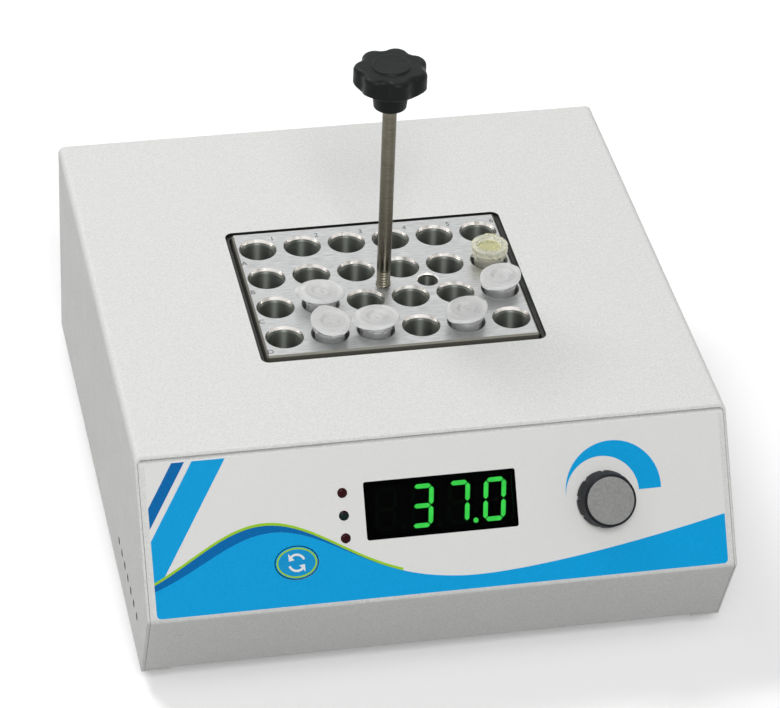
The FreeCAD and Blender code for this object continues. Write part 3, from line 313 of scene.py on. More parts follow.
def moulding(name, colour, roughness, grain=1800):
    """Injection moulded plastic: fine even grain, a trace of cloudiness in colour and gloss."""
    plastic = new_finish(name, colour, roughness)
    shader_of(plastic).inputs["Specular IOR Level"].default_value = moulding_specular
    mottle(plastic, noise(plastic, 150), dark=colour, pale=paler(colour, moulding_mottle))
    vary_gloss(plastic, noise(plastic, 320), low=roughness - 0.05, high=roughness + 0.08)
    emboss(plastic, noise(plastic, grain), depth=0.02 * mm, strength=0.5)
    return plastic


socket_black = moulding("socket_moulding", (30, 30, 31), roughness=0.42)
dress(socket_black, "power_inlet", "fuse_drawer", "rocker_frame")
rocker_black = moulding("rocker_moulding", (24, 24, 25), roughness=0.28, grain=900)
dress(rocker_black, "power_rocker")

nickel = new_finish("nickel_plate", (200, 194, 182), roughness=0.24, metallic=1.0)
drawing = noise(nickel, 700, (1.0, 0.1, 1.0))
mottle(nickel, drawing, dark=(186, 179, 166), pale=(212, 206, 194))
vary_gloss(nickel, noise(nickel, 500), low=0.18, high=0.34)
dress(nickel, "inlet_pins", "inlet_tags")

fuse_clear = new_finish("fuse_glass", (225, 230, 228), roughness=0.06)
shader_of(fuse_clear).inputs["Transmission Weight"].default_value = 0.9
shader_of(fuse_clear).inputs["IOR"].default_value = 1.5
vary_gloss(fuse_clear, noise(fuse_clear, 300), low=0.04, high=0.10)
dress(fuse_clear, "glass_fuse")

# Marks on the switch
# The line and the ring that every mains rocker carries, printed white: the line on its upper
# half and the ring on its lower one.
print_height = 0.05 * mm
weld_reach = 0.0001 * mm
mark_reach = 0.55  # of the way from the rocker's middle to its end
line_half_width, line_half_height = 0.35, 1.6
ring_outer, ring_inner = 1.7, 1.05


def flat_ink(name, loops, finish, origin, right, up, thickness, body):
    """A closed sheet of ink. Each loop is a list of points across and up, in millimetres, on the
    plane that right and up give, and a loop inside another is a hole in it."""
    outline = bpy.data.curves.new(name + "_outline", "CURVE")
    outline.dimensions = "2D"
    outline.fill_mode = "BOTH"
    outline.extrude = thickness / 2
    for loop in loops:
        spline = outline.splines.new("POLY")
        spline.points.add(len(loop) - 1)
        for point, (across, along) in zip(spline.points, loop):
            point.co = (across * mm, along * mm, 0.0, 1.0)
        spline.use_cyclic_u = True
    shape = bpy.data.objects.new(name + "_outline", outline)
    solid = bmesh.new()
    solid.from_mesh(bpy.data.meshes.new_from_object(shape))
    bmesh.ops.remove_doubles(solid, verts=solid.verts, dist=weld_reach)
    bmesh.ops.recalc_face_normals(solid, faces=solid.faces)
    out = right.cross(up)
    place = Matrix((right, up, out)).transposed().to_4x4()
    place.translation = origin + out * (thickness / 2)
    solid.transform(place)
    data = bpy.data.meshes.new(name)
    solid.to_mesh(data)
    solid.free()
    bpy.data.objects.remove(shape)
    data.materials.append(finish)
    ink = new_object(name, data)
    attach(ink, body)


def circle(radius, across=0.0, along=0.0, start=0.0, end=360.0, steps=64):
    """Points round an arc, the end left out on a full turn."""
    count = steps if end - start >= 360.0 else steps + 1
    angles = [math.radians(start + (end - start) * i / steps) for i in range(count)]
    return [(across + radius * math.cos(a), along + radius * math.sin(a)) for a in angles]


mark_white = new_finish("mark_white", (232, 233, 232), roughness=0.45)
mottle(mark_white, noise(mark_white, 1500), dark=(224, 225, 224), pale=(240, 241, 240))

switch_low, switch_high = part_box("power_rocker")
switch_middle = (switch_low + switch_high) / 2
rocker_points = [v.co.copy() for v in frame["nodes"]["power_rocker"].data.vertices]
rocker_half = (switch_high.z - switch_low.z) / 2


def rocker_mark(name, loops, side):
    """A mark on the upper or lower half of the dished rocker, laid on its slope."""
    half = [p for p in rocker_points if (p.z - switch_middle.z) * side > 0.0]
    crest = max(half, key=lambda p: p.y)
    dished = [p for p in rocker_points if abs(p.z - switch_middle.z) < rocker_half / 4]
    dip = max(dished, key=lambda p: p.y)
    up = Vector((0.0, crest.y - dip.y, crest.z - dip.z)).normalized() * side
    middle = dip.lerp(crest, mark_reach)
    middle.x = switch_middle.x
    flat_ink(name, loops, mark_white, middle, -RIGHT, up, print_height, "rocker")


line_corners = [
    (-line_half_width, -line_half_height), (line_half_width, -line_half_height),
    (line_half_width, line_half_height), (-line_half_width, line_half_height)]
rocker_mark("mark_on", [line_corners], 1)
rocker_mark("mark_off", [circle(ring_outer, steps=40), circle(ring_inner, steps=40)], -1)

# Heated well
# The block drops into a cast aluminium well. A silicone rubber heater is clamped under it by a
# plate, a thermal cutout and a probe watch it, and a fibre blanket keeps the heat in.
# Painted shade: the well is painted near black, standing in for the shadow in the gap round the
# block.
well_shade_dark = new_finish("cast_aluminium_painted_shade", (44, 45, 42), roughness=0.6, metallic=0.3)
mottle(well_shade_dark, noise(well_shade_dark, 260), dark=(38, 39, 36), pale=(52, 53, 50))
emboss(well_shade_dark, noise(well_shade_dark, 900), depth=0.06 * mm, strength=0.6)
dress(well_shade_dark, "heater_well")

rolled_grey = new_finish("rolled_aluminium", (186, 187, 188), roughness=0.38, metallic=1.0)
rolling = noise(rolled_grey, 500, (0.05, 1.0, 1.0))
mottle(rolled_grey, rolling, dark=(172, 173, 174), pale=(196, 197, 198))
emboss(rolled_grey, noise(rolled_grey, 1600, (0.04, 1.0, 1.0)), depth=0.02 * mm, strength=0.5)
dress(rolled_grey, "heater_clamp_plate", "heatsink")

bare_steel = new_finish("bare_steel", (158, 157, 154), roughness=0.4, metallic=1.0)
mill_lines = noise(bare_steel, 350, (0.2, 1.0, 1.0))
mottle(bare_steel, mill_lines, dark=(140, 139, 136), pale=(172, 171, 168))
dress(bare_steel, "well_brackets", "temperature_probe")

heater_orange = new_finish("heater_silicone", (196, 84, 44), roughness=0.7)
weave = noise(heater_orange, 1400, (1.0, 0.35, 1.0))
mottle(heater_orange, weave, dark=(180, 74, 38), pale=(206, 96, 54))
emboss(heater_orange, weave, depth=0.08 * mm)
dress(heater_orange, "heater_mat")

blanket = new_finish("fibre_blanket", (226, 222, 208), roughness=0.95)
tangle = noise(blanket, 600, (1.0, 1.0, 0.3), detail=6.0)
mottle(blanket, tangle, dark=(208, 203, 186), pale=(236, 233, 222))
emboss(blanket, tangle, depth=0.5 * mm)
dress(blanket, "insulation_jacket")

phenolic = moulding("cutout_phenolic", (58, 44, 36), roughness=0.5)
dress(phenolic, "thermal_cutout")

# Circuit boards
# Two glass-epoxy boards on moulded standoffs, one behind the panel and one for the mains. The
# parts on them are moulded plastic, the transformer is a stack of steel sheets, and the dial's
# encoder has a plated case.
solder_mask = new_finish("solder_mask", (22, 92, 52), roughness=0.35)
tracks = noise(solder_mask, 420, (1.0, 0.15, 0.15))
mottle(solder_mask, tracks, dark=(16, 78, 44), pale=(34, 112, 66))
emboss(solder_mask, tracks, depth=0.03 * mm)
dress(solder_mask, "control_board", "power_board")

board_moulding = moulding("board_moulding", (36, 36, 38), roughness=0.5)
dress(board_moulding, "display_header", "key_switch", "lamp_holders", "board_standoffs",
      "power_board_standoffs")

lamination = new_finish("transformer_steel", (112, 108, 104), roughness=0.5, metallic=0.6)
sheets = noise(lamination, 1200, (0.02, 0.02, 1.0))
mottle(lamination, sheets, dark=(86, 82, 78), pale=(130, 126, 122))
emboss(lamination, sheets, depth=0.1 * mm)
dress(lamination, "transformer")

encoder_grey = new_finish("encoder_case", (178, 176, 170), roughness=0.35, metallic=1.0)
mottle(encoder_grey, noise(encoder_grey, 500), dark=(160, 158, 152), pale=(190, 188, 182))
dress(encoder_grey, "encoder_body", "encoder_shaft")

# Front film
# A satin polycarbonate film, printed on its face, stuck to the sloped panel. Its layout is given
# in millimetres across from the middle and up from the fold, placed by the dial's own axis.
dial_joint = next(j for j in frame["joints"] if j["name"] == "dial_turn")
panel_out = Vector(dial_joint["axis"])
panel_up = panel_out.cross(RIGHT).normalized()
dial_across, dial_along = 56.5, 26.9
film_half = 97.9
film_low, film_high = 0.9, 52.6
film_face = max(v.co.dot(panel_out) for v in frame["nodes"]["front_overlay"].data.vertices)
film_origin = Vector(dial_joint["pos_m"]) - (RIGHT * dial_across + panel_up * dial_along) * mm
film_origin += panel_out * (film_face - film_origin.dot(panel_out))

film_white = new_finish("film_white", (227, 227, 225), roughness=0.4)
film_grain = noise(film_white, 2600, detail=2.0)
mottle(film_white, film_grain, dark=(224, 224, 222), pale=(230, 230, 228))
emboss(film_white, film_grain, depth=0.02 * mm, strength=0.4)
vary_gloss(film_white, noise(film_white, 60), low=0.36, high=0.44)
dress(film_white, "front_overlay")

# Print on the film
# A generic pattern in two blues and green: a wave along the foot with a ribbon and a hairline
# over it, two straight bands across the top left corner, and the swelling arc round the dial.
ink_layer = 0.02 * mm
first_pass = 0.9  # of a layer, and each later pass reaches one layer higher
ink_specular = 0.05
ink_mottle = 7
print_edge = 0.25
corner_radius = 1.5
left_edge, right_edge = -film_half + print_edge, film_half - print_edge
foot, head = film_low + print_edge, film_high - print_edge
wave_steps = 96
trough = 5.2
swell_height, swell_middle, swell_reach = 21.0, -57.0, 34.0
lift_height, lift_start, lift_power = 13.0, 5.0, 1.6
ribbon_width, ribbon_middle, ribbon_reach = 3.6, -76.0, 30.0
ribbon_end = -8.0
hair_width = 0.9
hair_end = -14.0
band_slope = 1.62
key_across, key_along = -49.7, 15.5
key_length, key_height = 14.4, 10.8
key_hole_gap = 0.3


def ink(name, colour):
    """Screen printed ink on the film: even, a little glossier than the film under it."""
    colour_pass = new_finish(name, colour, roughness=0.36)
    shader_of(colour_pass).inputs["Specular IOR Level"].default_value = ink_specular
    mottle(colour_pass, noise(colour_pass, 1200), dark=colour, pale=paler(colour, ink_mottle))
    emboss(colour_pass, noise(colour_pass, 2600, detail=2.0), depth=0.02 * mm, strength=0.4)
    vary_gloss(colour_pass, noise(colour_pass, 80), low=0.32, high=0.42)
    return colour_pass


def on_film(name, loops, finish, layer):
    """A pass of ink on the film, its face above those of the passes printed before it."""
    flat_ink(name, loops, finish, film_origin, RIGHT, panel_up, ink_layer * (first_pass + layer),
             "cabinet")


def wave(x):
    """Height of the wave's crest line: a swell at the left that runs out in a shallow trough."""
    swell = swell_height * math.exp(-((x - swell_middle) / swell_reach) ** 2)
    lift = lift_height * max(0.0, (x - lift_start) / (film_half - lift_start)) ** lift_power
    return trough + swell + lift


def ribbon(x):
    """The ribbon is widest on the swell's far side and closes up where the trough starts."""
    return wave(x) + ribbon_width * math.exp(-((x - ribbon_middle) / ribbon_reach) ** 2)


def hairline(x):
    return ribbon(x) + hair_width


def line_of(height, start, end):
    """Points along a line whose height is given for each place across."""
    xs = [start + (end - start) * i / wave_steps for i in range(wave_steps + 1)]
    return [(x, height(x)) for x in xs]


def oval(length, height, across, along, steps=72):
    """Points round an ellipse."""
    angles = [2 * math.pi * i / steps for i in range(steps)]
    return [(across + length / 2 * math.cos(a), along + height / 2 * math.sin(a)) for a in angles]


def band(low, high):
    """A straight band that rises from the left edge, between two heights there, to the top edge."""
    low_end = left_edge + (head - low) / band_slope
    high_end = left_edge + (head - high) / band_slope
    return [(left_edge, high), (left_edge, low), (low_end, head), (high_end, head)]


sky_ink = ink("ink_light_blue", (10, 162, 226))
deep_ink = ink("ink_dark_blue", (0, 104, 174))
leaf_ink = ink("ink_green", (156, 206, 44))

corner_height = foot + corner_radius
foot_line = circle(corner_radius, right_edge - corner_radius, corner_height, 0.0, -90.0, steps=8)
foot_line += circle(corner_radius, left_edge + corner_radius, corner_height, -90.0, -180.0, steps=8)
wave_print = line_of(wave, left_edge, right_edge) + foot_line
key_hole = oval(key_length + 2 * key_hole_gap, key_height + 2 * key_hole_gap, key_across, key_along)
ribbon_print = line_of(ribbon, left_edge, ribbon_end) + line_of(wave, ribbon_end, left_edge)
hair_print = line_of(hairline, left_edge, hair_end) + line_of(ribbon, hair_end, left_edge)
arc_outer = circle(radius=16.5, across=59.8, along=29.9, start=-3.0, end=183.3)
arc_inner = circle(radius=12.6, across=55.95, along=28.8, start=0.8, end=183.0)

on_film("print_wide_band", [band(9.0, 27.0)], sky_ink, 0)
on_film("print_narrow_band", [band(31.0, 38.0)], deep_ink, 0)
on_film("print_dial_arc", [arc_outer + list(reversed(arc_inner))], sky_ink, 0)
on_film("print_ribbon", [ribbon_print], deep_ink, 1)
on_film("print_hairline", [hair_print], leaf_ink, 1)
on_film("print_wave", [wave_print, key_hole], sky_ink, 2)

# Display
# A seven segment module behind a smoked acrylic window with a black printed border. Lit bars are
# green, and the unlit ones just show on the module's black face.
window_across, window_along = 0.5, 30.3
window_length, window_height = 51.8, 19.6
window_border = 1.3
window_ior = 1.08  # so low that the window hardly mirrors
digit_count = 4
digit_pitch = 12.4
digit_height = 14.6
digit_width = 7.6
digit_stroke = 1.5
digit_slant = 0.10
digit_gap = 0.25
point_radius = 0.85
lit = {1: "abgcd", 2: "abc", 3: "abcdef"}
lit_point = 2
module_face = 1.5  # behind the film's face
glow_strength = 10.0


def share_along(finish, what, way):
    """How much of a vector of the surface, its Object place or its Normal, goes one way."""
    nodes, links = finish.node_tree.nodes, finish.node_tree.links
    place = nodes.new("ShaderNodeTexCoord")
    product = nodes.new("ShaderNodeVectorMath")
    product.operation = "DOT_PRODUCT"
    product.inputs[1].default_value = way
    links.new(place.outputs[what], product.inputs[0])
    return product.outputs["Value"]


def place_on(finish, way):
    """How far one way in the frame, in metres, the point of the piece lies."""
    return share_along(finish, "Object", way)


def near(finish, way, middle, reach):
    """One where the point lies within the reach of the middle, measured one way, else nought."""
    off = reckon(finish, "SUBTRACT", place_on(finish, way), middle)
    return reckon(finish, "LESS_THAN", reckon(finish, "ABSOLUTE", off), reach)


def all_of(finish, first, *others):
    """One where every share is one."""
    total = first
    for share in others:
        total = reckon(finish, "MULTIPLY", total, share)
    return total


def recolour(finish, share, colour):
    """Turns the finish to the colour where the share is one."""
    change(finish, share, "Base Color", tint(*colour))


smoked = new_finish("smoked_acrylic", (64, 78, 72), roughness=0.03)
smoked_parts = shader_of(smoked).inputs
smoked_parts["Transmission Weight"].default_value = 1.0
smoked_parts["IOR"].default_value = window_ior
smoked_parts["Specular IOR Level"].default_value = 0.0
vary_gloss(smoked, noise(smoked, 70), low=0.02, high=0.06)
mottle(smoked, noise(smoked, 300), dark=(60, 74, 68), pale=(68, 82, 76))
window_middle = film_origin + (RIGHT * window_across + panel_up * window_along) * mm
clear_length = (window_length / 2 - window_border) * mm
clear_height = (window_height / 2 - window_border) * mm
clear_part = all_of(
    smoked,
    near(smoked, RIGHT, window_middle.dot(RIGHT), clear_length),
    near(smoked, panel_up, window_middle.dot(panel_up), clear_height))
bordered = reckon(smoked, "SUBTRACT", 1.0, clear_part)
recolour(smoked, bordered, (3, 4, 4))
change(smoked, bordered, "Transmission Weight", 0.0)
dress(smoked, "display_window")

display_black = moulding("display_black", (5, 8, 7), roughness=0.6)
shader_of(display_black).inputs["Specular IOR Level"].default_value = 0.02
dress(display_black, "display_module")

glow_green = (84, 232, 96)
glow = new_finish("lit_green", (70, 220, 84), roughness=0.5)
shader_of(glow).inputs["Emission Color"].default_value = tint(*glow_green)
shader_of(glow).inputs["Emission Strength"].default_value = glow_strength
mottle(glow, noise(glow, 500), dark=(60, 205, 76), pale=glow_green)
dress(glow, "display_digits")

unlit = new_finish("unlit_segment", (84, 100, 92), roughness=0.6)
mottle(unlit, noise(unlit, 800), dark=(76, 92, 84), pale=(92, 108, 100))


def bar(name, across, along):
    """One bar of a digit as a loop of six points, leaning with the digit."""
    reach = digit_width / 2 - digit_stroke / 2
    half = digit_height / 2 - digit_stroke / 2
    tip = digit_stroke / 2
    if name in "agd":
        y = {"a": half, "g": 0.0, "d": -half}[name]
        start, end = Vector((-reach, y)), Vector((reach, y))
    else:
        x = reach if name in "bc" else -reach
        low, high = (0.0, half) if name in "bf" else (-half, 0.0)
        start, end = Vector((x, low)), Vector((x, high))
    way = (end - start).normalized()
    side = Vector((-way.y, way.x)) * tip
    a, b = start + way * digit_gap, end - way * digit_gap
    loop = [a, a + way * tip + side, b - way * tip + side, b, b - way * tip - side,
            a + way * tip - side]
    return [(across + p.x + p.y * digit_slant, along + p.y) for p in loop]


first_digit = window_across - (digit_count - 1) / 2 * digit_pitch
dark_bars = []
for place in range(digit_count):
    across = first_digit + place * digit_pitch
    for name in "abcdefg":
        if name not in lit.get(place, ""):
            dark_bars.append(bar(name, across, window_along))
    if place != lit_point:
        point_across = across + digit_pitch / 2 - digit_slant * digit_height / 2
        point_along = window_along - digit_height / 2 + digit_stroke / 2
        dark_bars.append(circle(point_radius, point_across, point_along, steps=24))
face_origin = film_origin - panel_out * (module_face * mm)
flat_ink("unlit_segments", dark_bars, unlit, face_origin, RIGHT, panel_up, print_height,
         "cabinet")

# Indicator lamps
# Three tinted epoxy lamps that stand through the film, unlit: red, green and red from the top
# down. They are one piece of the frame, so the green one takes its colour from its height.
green_reach = 3.0 * mm
lens_low, lens_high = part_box("indicator_lamps")
lamp_lens = new_finish("lamp_epoxy", (52, 12, 18), roughness=0.14)
shader_of(lamp_lens).inputs["Specular IOR Level"].default_value = 0.08
mottle(lamp_lens, noise(lamp_lens, 900), dark=(42, 6, 12), pale=(60, 12, 18))
recolour(lamp_lens, near(lamp_lens, UP, (lens_low.z + lens_high.z) / 2, green_reach), (10, 34, 32))
vary_gloss(lamp_lens, noise(lamp_lens, 400), low=0.10, high=0.18)
dress(lamp_lens, "indicator_lamps")

# Key
# An oval key moulded in blue that stands a little proud of the film, with a green ring and a
# white sign for the next setting printed on it.
key_proud = 0.25
key_print_height = 0.03 * mm
ring_inset = 0.35
ring_width = 0.55
arrow_radius = 2.7
arrow_stroke = 0.75
arrow_head = 1.5
arrow_tip_turn = 36.0  # degrees that the tip goes past the head's base
key_blue = ink("key_blue", (20, 150, 212))
dress(key_blue, "mode_key")


def on_key(name, loops, finish):
    """A print on the key's face."""
    key_face = film_origin + panel_out * (key_proud * mm)
    flat_ink(name, loops, finish, key_face, RIGHT, panel_up, key_print_height, "mode_key")


def arrow(start, end):
    """A bent arrow round the key's middle, from one angle to another, in degrees."""
    outer = circle(arrow_radius + arrow_stroke / 2, key_across, key_along, start, end, steps=24)
    inner = circle(arrow_radius - arrow_stroke / 2, key_across, key_along, start, end, steps=24)
    head_points = []
    for off, angle in ((arrow_head, end), (0.0, end + arrow_tip_turn), (-arrow_head, end)):
        turned = math.radians(angle)
        head_points.append((
            key_across + (arrow_radius + off) * math.cos(turned),
            key_along + (arrow_radius + off) * math.sin(turned)))
    return outer + head_points + list(reversed(inner))


ring_length, ring_height = key_length - 2 * ring_inset, key_height - 2 * ring_inset
on_key("key_ring", [
    oval(ring_length, ring_height, key_across, key_along),
    oval(ring_length - 2 * ring_width, ring_height - 2 * ring_width, key_across, key_along),
], leaf_ink)
on_key("key_sign", [arrow(20.0, 130.0), arrow(200.0, 310.0)], mark_white)

# Dial
# A black moulded knob, pushed onto the encoder's shaft. A matt grey cap is let into its face and
# hides the shaft's end.
dial_black = moulding("dial_moulding", (16, 17, 21), roughness=0.5)
dress(dial_black, "dial_knob")
dial_disc = new_finish("dial_disc", (138, 139, 137), roughness=0.6)
mottle(dial_disc, noise(dial_disc, 1100), dark=(130, 131, 129), pale=(146, 147, 145))
vary_gloss(dial_disc, noise(dial_disc, 500), low=0.5, high=0.66)
emboss(dial_disc, noise(dial_disc, 2000), depth=0.02 * mm, strength=0.5)
dress(dial_disc, "dial_cap")

# Heating block
# Milled from solid aluminium: cutter lines along the top, drilled wells whose countersunk rims are
# painted bright as a highlight and whose walls and the block's outer sides are painted dark as
# shade, and the wells' numbers and letters stamped beside the back row and the left column.
edge_width = 0.62 * mm
rim_depth = 1.15 * mm
top_skin = 0.02 * mm
ring_gleam = 0.9
block_low, block_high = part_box("heating_block")
block_half = (block_high - block_low) / 2
block_middle = (block_low + block_high) / 2
block_metal = new_finish("milled_aluminium", (190, 191, 191), roughness=0.34, metallic=1.0)
cutter = noise(block_metal, 2200, (0.1, 1.0, 1.0))
mottle(block_metal, cutter, dark=(174, 175, 175), pale=(208, 209, 209))
vary_gloss(block_metal, noise(block_metal, 500, (0.05, 1.0, 1.0)), low=0.3, high=0.4)
emboss(block_metal, cutter, depth=0.004 * mm, strength=0.5)


def ring_bored(finish, share):
    """Fine level rings from the drill, where the share is one: they draw a gleam up the wall."""
    nodes, links = finish.node_tree.nodes, finish.node_tree.links
    upright = nodes.new("ShaderNodeCombineXYZ")
    upright.inputs["Z"].default_value = 1.0
    links.new(upright.outputs["Vector"], shader_of(finish).inputs["Tangent"])
    change(finish, share, "Anisotropic", ring_gleam)


def under(finish, way, limit):
    """One where the point lies short of the limit, measured one way in the frame."""
    return reckon(finish, "LESS_THAN", place_on(finish, way), limit)


inside = all_of(
    block_metal,
    near(block_metal, RIGHT, block_middle.x, block_half.x - edge_width),
    near(block_metal, BACK, block_middle.y, block_half.y - edge_width))
# Painted highlight: the countersinks are painted nearly white, standing in for the gleam on the
# rims.
countersink_highlight = all_of(block_metal, under(block_metal, UP, block_high.z - top_skin), inside)
# Painted shade: the bore walls below the rims are painted darker, standing in for the shade deep in
# the wells. The same share also carries the drill's level rings.
bore_rings_and_shade = all_of(block_metal, under(block_metal, UP, block_high.z - rim_depth), inside)
# Painted shade: the block's outer sides are painted a dark olive, standing in for the shadow in the
# gap round the block.
side_painted_shade = reckon(block_metal, "SUBTRACT", 1.0, inside)
for share, colour, metallic, roughness in (
        (countersink_highlight, (243, 239, 235), 1.0, 0.26),
        (bore_rings_and_shade, (122, 126, 120), 1.0, 0.46),
        (side_painted_shade, (112, 111, 102), 0.5, 0.55)):
    recolour(block_metal, share, colour)
    change(block_metal, share, "Metallic", metallic)
    change(block_metal, share, "Roughness", roughness)
ring_bored(block_metal, bore_rings_and_shade)
dress(block_metal, "heating_block")

well_pitch_x, well_pitch_y = 16.0, 18.2
half_columns, half_rows = 2.5, 1.5
stamp_size = 2.3
stamp_depth = 0.03 * mm
stamp_lift = 0.4  # of the depth, so that the foot is just in the metal
capital_share = 0.7  # of the type's size
stamp_off = 6.2  # beside the well's axis, and behind it for the numbers
letter_off = 8.0  # in front of the well's axis
stamp_dark = new_finish("stamped_mark", (92, 92, 92), roughness=0.6, metallic=0.5)
mottle(stamp_dark, noise(stamp_dark, 2000), dark=(78, 78, 78), pale=(106, 106, 106))


def stamped(text, across, along):
    """A stamped figure, its middle that far from the block's middle in millimetres."""
    name = "stamp_" + text
    lettering = bpy.data.curves.new(name + "_text", "FONT")
    lettering.body = text
    lettering.size = stamp_size * mm / capital_share
    lettering.align_x = "CENTER"
    lettering.align_y = "CENTER"
    lettering.extrude = stamp_depth / 2
    shape = bpy.data.objects.new(name + "_text", lettering)
    data = bpy.data.meshes.new_from_object(shape)
    data.name = name
    bpy.data.objects.remove(shape)
    data.transform(Matrix.Translation((
        block_middle.x + across * mm, block_middle.y + along * mm,
        block_high.z + stamp_depth * stamp_lift)))
    data.materials.clear()
    data.materials.append(stamp_dark)
    mark = new_object(name, data)
    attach(mark, "block")


for column, number in enumerate("123456"):
    x = (column - half_columns) * well_pitch_x
    stamped(number, x + stamp_off, half_rows * well_pitch_y + stamp_off)
for row, letter in enumerate("ABCD"):
    y = (half_rows - row) * well_pitch_y
    stamped(letter, -half_columns * well_pitch_x - stamp_off, y - letter_off)

# Lifting rod and its knob
# A stainless rod with a rolled thread at its foot, screwed into the block's middle. A black star
# knob is moulded on its upper end.
rod_radius = 2.45 * mm
rod_chamfer = 0.5 * mm
thread_pitch = 1.06 * mm
thread_depth = 0.6 * mm
thread_above_block = 6.8 * mm
thread_fade = 1.5 * mm
crest_share = 0.12  # of the thread's depth, left flat at its crest
round_steps = 48
rows_per_turn = 8
plain_rows = 6
rod_low, rod_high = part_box("lifter_rod")
rod_middle = (rod_low + rod_high) / 2
thread_top = block_high.z + thread_above_block

stainless = new_finish("rod_stainless", (108, 104, 92), roughness=0.3, metallic=1.0)
turning = noise(stainless, 1500, (0.2, 0.2, 1.0))
mottle(stainless, turning, dark=(100, 96, 84), pale=(116, 112, 100))
vary_gloss(stainless, noise(stainless, 260, (1.0, 1.0, 0.2)), low=0.28, high=0.38)
emboss(stainless, turning, depth=0.01 * mm, strength=0.4)


def rod_radius_at(height, angle):
    """Radius of the rod: a vee thread that fades out at its top, then plain and chamfered."""
    radius = rod_radius
    if height < thread_top:
        phase = (height / thread_pitch - angle / (2 * math.pi)) % 1.0
        cut_share = 1.0 - abs(2.0 * phase - 1.0)
        fade = min(1.0, (thread_top - height) / thread_fade)
        radius -= thread_depth * max(0.0, cut_share - crest_share) * fade
    end = min(height - rod_low.z, rod_high.z - height)
    if end < rod_chamfer:
        radius = min(radius, rod_radius - rod_chamfer + end)
    return radius


heights = [rod_low.z, rod_low.z + rod_chamfer]
step = thread_pitch / rows_per_turn
height = rod_low.z + rod_chamfer + step
while height < thread_top:
    heights.append(height)
    height += step
plain_top = rod_high.z - rod_chamfer
heights += [thread_top + (plain_top - thread_top) * i / plain_rows for i in range(plain_rows + 1)]
heights.append(rod_high.z)
rod_mesh = bmesh.new()
rings = []
for height in heights:
    ring = []
    for i in range(round_steps):
        angle = 2 * math.pi * i / round_steps
        radius = rod_radius_at(height, angle)
        ring.append(rod_mesh.verts.new((
            rod_middle.x + radius * math.cos(angle),
            rod_middle.y + radius * math.sin(angle), height)))
    rings.append(ring)
for low_ring, high_ring in zip(rings, rings[1:]):
    for i in range(round_steps):
        j = (i + 1) % round_steps
        rod_mesh.faces.new((low_ring[i], low_ring[j], high_ring[j], high_ring[i])).smooth = True
rod_mesh.faces.new(list(reversed(rings[0])))
rod_mesh.faces.new(rings[-1])
rod_data = bpy.data.meshes.new("threaded_rod")
rod_mesh.to_mesh(rod_data)
rod_mesh.free()
rod_data.materials.append(stainless)
rod = new_object("threaded_rod", rod_data)
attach(rod, "lifter")
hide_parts("lifter_rod")

knob_black = moulding("knob_moulding", (15, 19, 18), roughness=0.42, grain=1400)
dress(knob_black, "lifter_knob")

# Tubes and their lids
# Thin polypropylene microtubes in six of the wells: clear bodies under frosted lids with faint
# rings from the turned mould. The one at the back right is of an older, yellower batch. Each lid
# turns on a hinge moulded with its tube.
clear_white = (248, 249, 249)
frosted_white = (246, 246, 245)
rim_highlight_white = (252, 253, 253)
faint_yellow = (248, 248, 238)
old_yellow = (236, 234, 186)
plastic_ior = 1.4
plastic_mottle = -6
rings_per_metre = 120
ring_waver = 0.4
ring_relief = 0.25 * mm
rim_lean = 0.6  # a lid's surface that faces up less than this is its rim
rim_highlight_clear = 0.3
recess_depth = 0.4 * mm
floor_lean = 0.7


def polypropylene(name, colour, clear, roughness):
    """Natural polypropylene: it passes light, and blurs what is behind it the rougher it is."""
    plastic = new_finish(name, colour, roughness)
    shader_of(plastic).inputs["Transmission Weight"].default_value = clear
    shader_of(plastic).inputs["IOR"].default_value = plastic_ior
    cloud = noise(plastic, 260)
    mottle(plastic, cloud, dark=paler(colour, plastic_mottle), pale=colour)
    vary_gloss(plastic, cloud, low=roughness - 0.04, high=roughness + 0.08)
    return plastic


def moulded_rings(plastic, tube_low, tube_high):
    """Faint rings in the lid, round the axis of its tube, from the turned mould."""
    nodes, links = plastic.node_tree.nodes, plastic.node_tree.links
    middle = (tube_low + tube_high) / 2
    place = nodes.new("ShaderNodeTexCoord")
    from_axis = nodes.new("ShaderNodeMapping")
    from_axis.inputs["Location"].default_value = (-middle.x, -middle.y, 0.0)
    turned = nodes.new("ShaderNodeTexWave")
    turned.wave_type = "RINGS"
    turned.rings_direction = "Z"
    turned.inputs["Scale"].default_value = rings_per_metre
    turned.inputs["Distortion"].default_value = ring_waver
    links.new(place.outputs["Object"], from_axis.inputs["Vector"])
    links.new(from_axis.outputs["Vector"], turned.inputs["Vector"])
    emboss(plastic, turned.outputs["Fac"], ring_relief)


def lean(finish, way):
    """How far the surface faces one way or its reverse: one straight on, nought side on."""
    return reckon(finish, "ABSOLUTE", share_along(finish, "Normal", way))


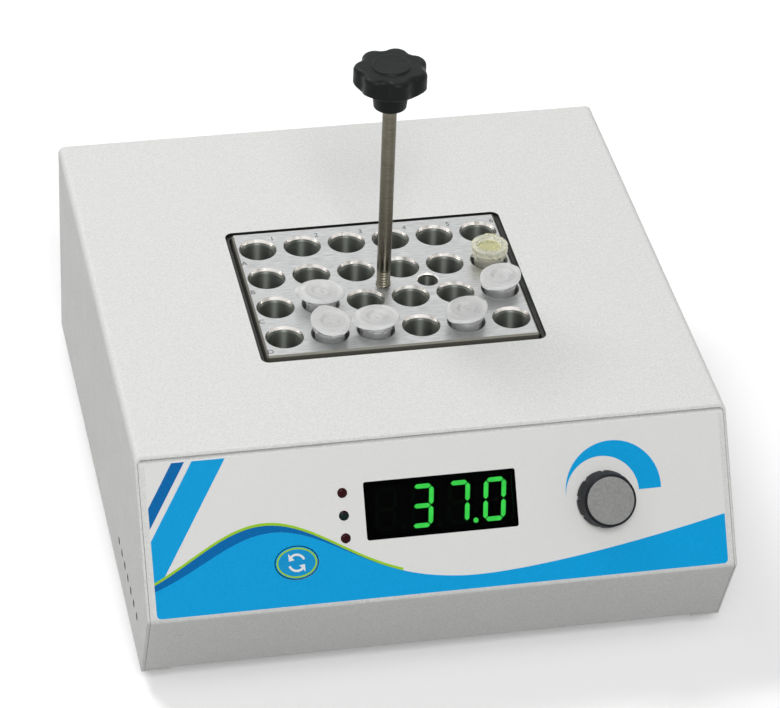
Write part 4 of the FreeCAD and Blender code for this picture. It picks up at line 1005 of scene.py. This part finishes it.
clear_tube = polypropylene("clear_polypropylene", clear_white, clear=0.8, roughness=0.12)
for well in ("2C", "2D", "3D", "5D", "6C"):
    dress(clear_tube, "tube_" + well)
    lid = polypropylene("frosted_lid_" + well, frosted_white, clear=0.62, roughness=0.4)
    moulded_rings(lid, *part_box("tube_" + well))
    # Painted highlight: each lid's rim is painted whiter and less clear, standing in for the bright
    # edge.
    lid_rim_highlight = reckon(lid, "LESS_THAN", lean(lid, UP), rim_lean)
    recolour(lid, lid_rim_highlight, rim_highlight_white)
    change(lid, lid_rim_highlight, "Transmission Weight", rim_highlight_clear)
    dress(lid, "lid_" + well)

dress(polypropylene("yellowed_tube", faint_yellow, clear=0.8, roughness=0.12), "tube_6B")
yellowed_lid = polypropylene("yellowed_lid", faint_yellow, clear=0.6, roughness=0.25)
recess_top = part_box("lid_6B")[1].z - recess_depth
recess_floor = all_of(
    yellowed_lid,
    under(yellowed_lid, UP, recess_top),
    reckon(yellowed_lid, "GREATER_THAN", lean(yellowed_lid, UP), floor_lean))
recolour(yellowed_lid, recess_floor, old_yellow)
dress(yellowed_lid, "lid_6B")

# Cover
# One folded sheet over the top and sides, in the same coat as the tray, held by screws along
# the bottom and back. It goes on last. The small air holes are painted black as the shade inside
# them, and the cut edge round the block's opening is painted dark as the shadow in the gap there.
hole_row_middle = 45.7 * mm  # behind the cover's front edge
hole_row_height = 16.0 * mm
hole_row_reach = 24.0 * mm
hole_reach = 3.0 * mm
hole_lean = 0.3
opening_reach = 6.0 * mm
cut_lean = 0.7
cover_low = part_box("top_cover")[0]
cover_coat = powder("cover_coat")
# Painted shade: the air holes are painted black, standing in for the shade inside them.
air_hole_shade = all_of(
    cover_coat,
    reckon(cover_coat, "LESS_THAN", lean(cover_coat, RIGHT), hole_lean),
    near(cover_coat, BACK, cover_low.y + hole_row_middle, hole_row_reach),
    near(cover_coat, UP, cover_low.z + hole_row_height, hole_reach))
recolour(cover_coat, air_hole_shade, (12, 12, 12))
# Painted shade: the cut edge round the opening is painted dark, standing in for the shadow in the
# gap.
opening_gap_shade = all_of(
    cover_coat,
    reckon(cover_coat, "LESS_THAN", lean(cover_coat, UP), cut_lean),
    near(cover_coat, RIGHT, block_middle.x, block_half.x + opening_reach),
    near(cover_coat, BACK, block_middle.y, block_half.y + opening_reach))
recolour(cover_coat, opening_gap_shade, (26, 26, 25))
dress(cover_coat, "top_cover")
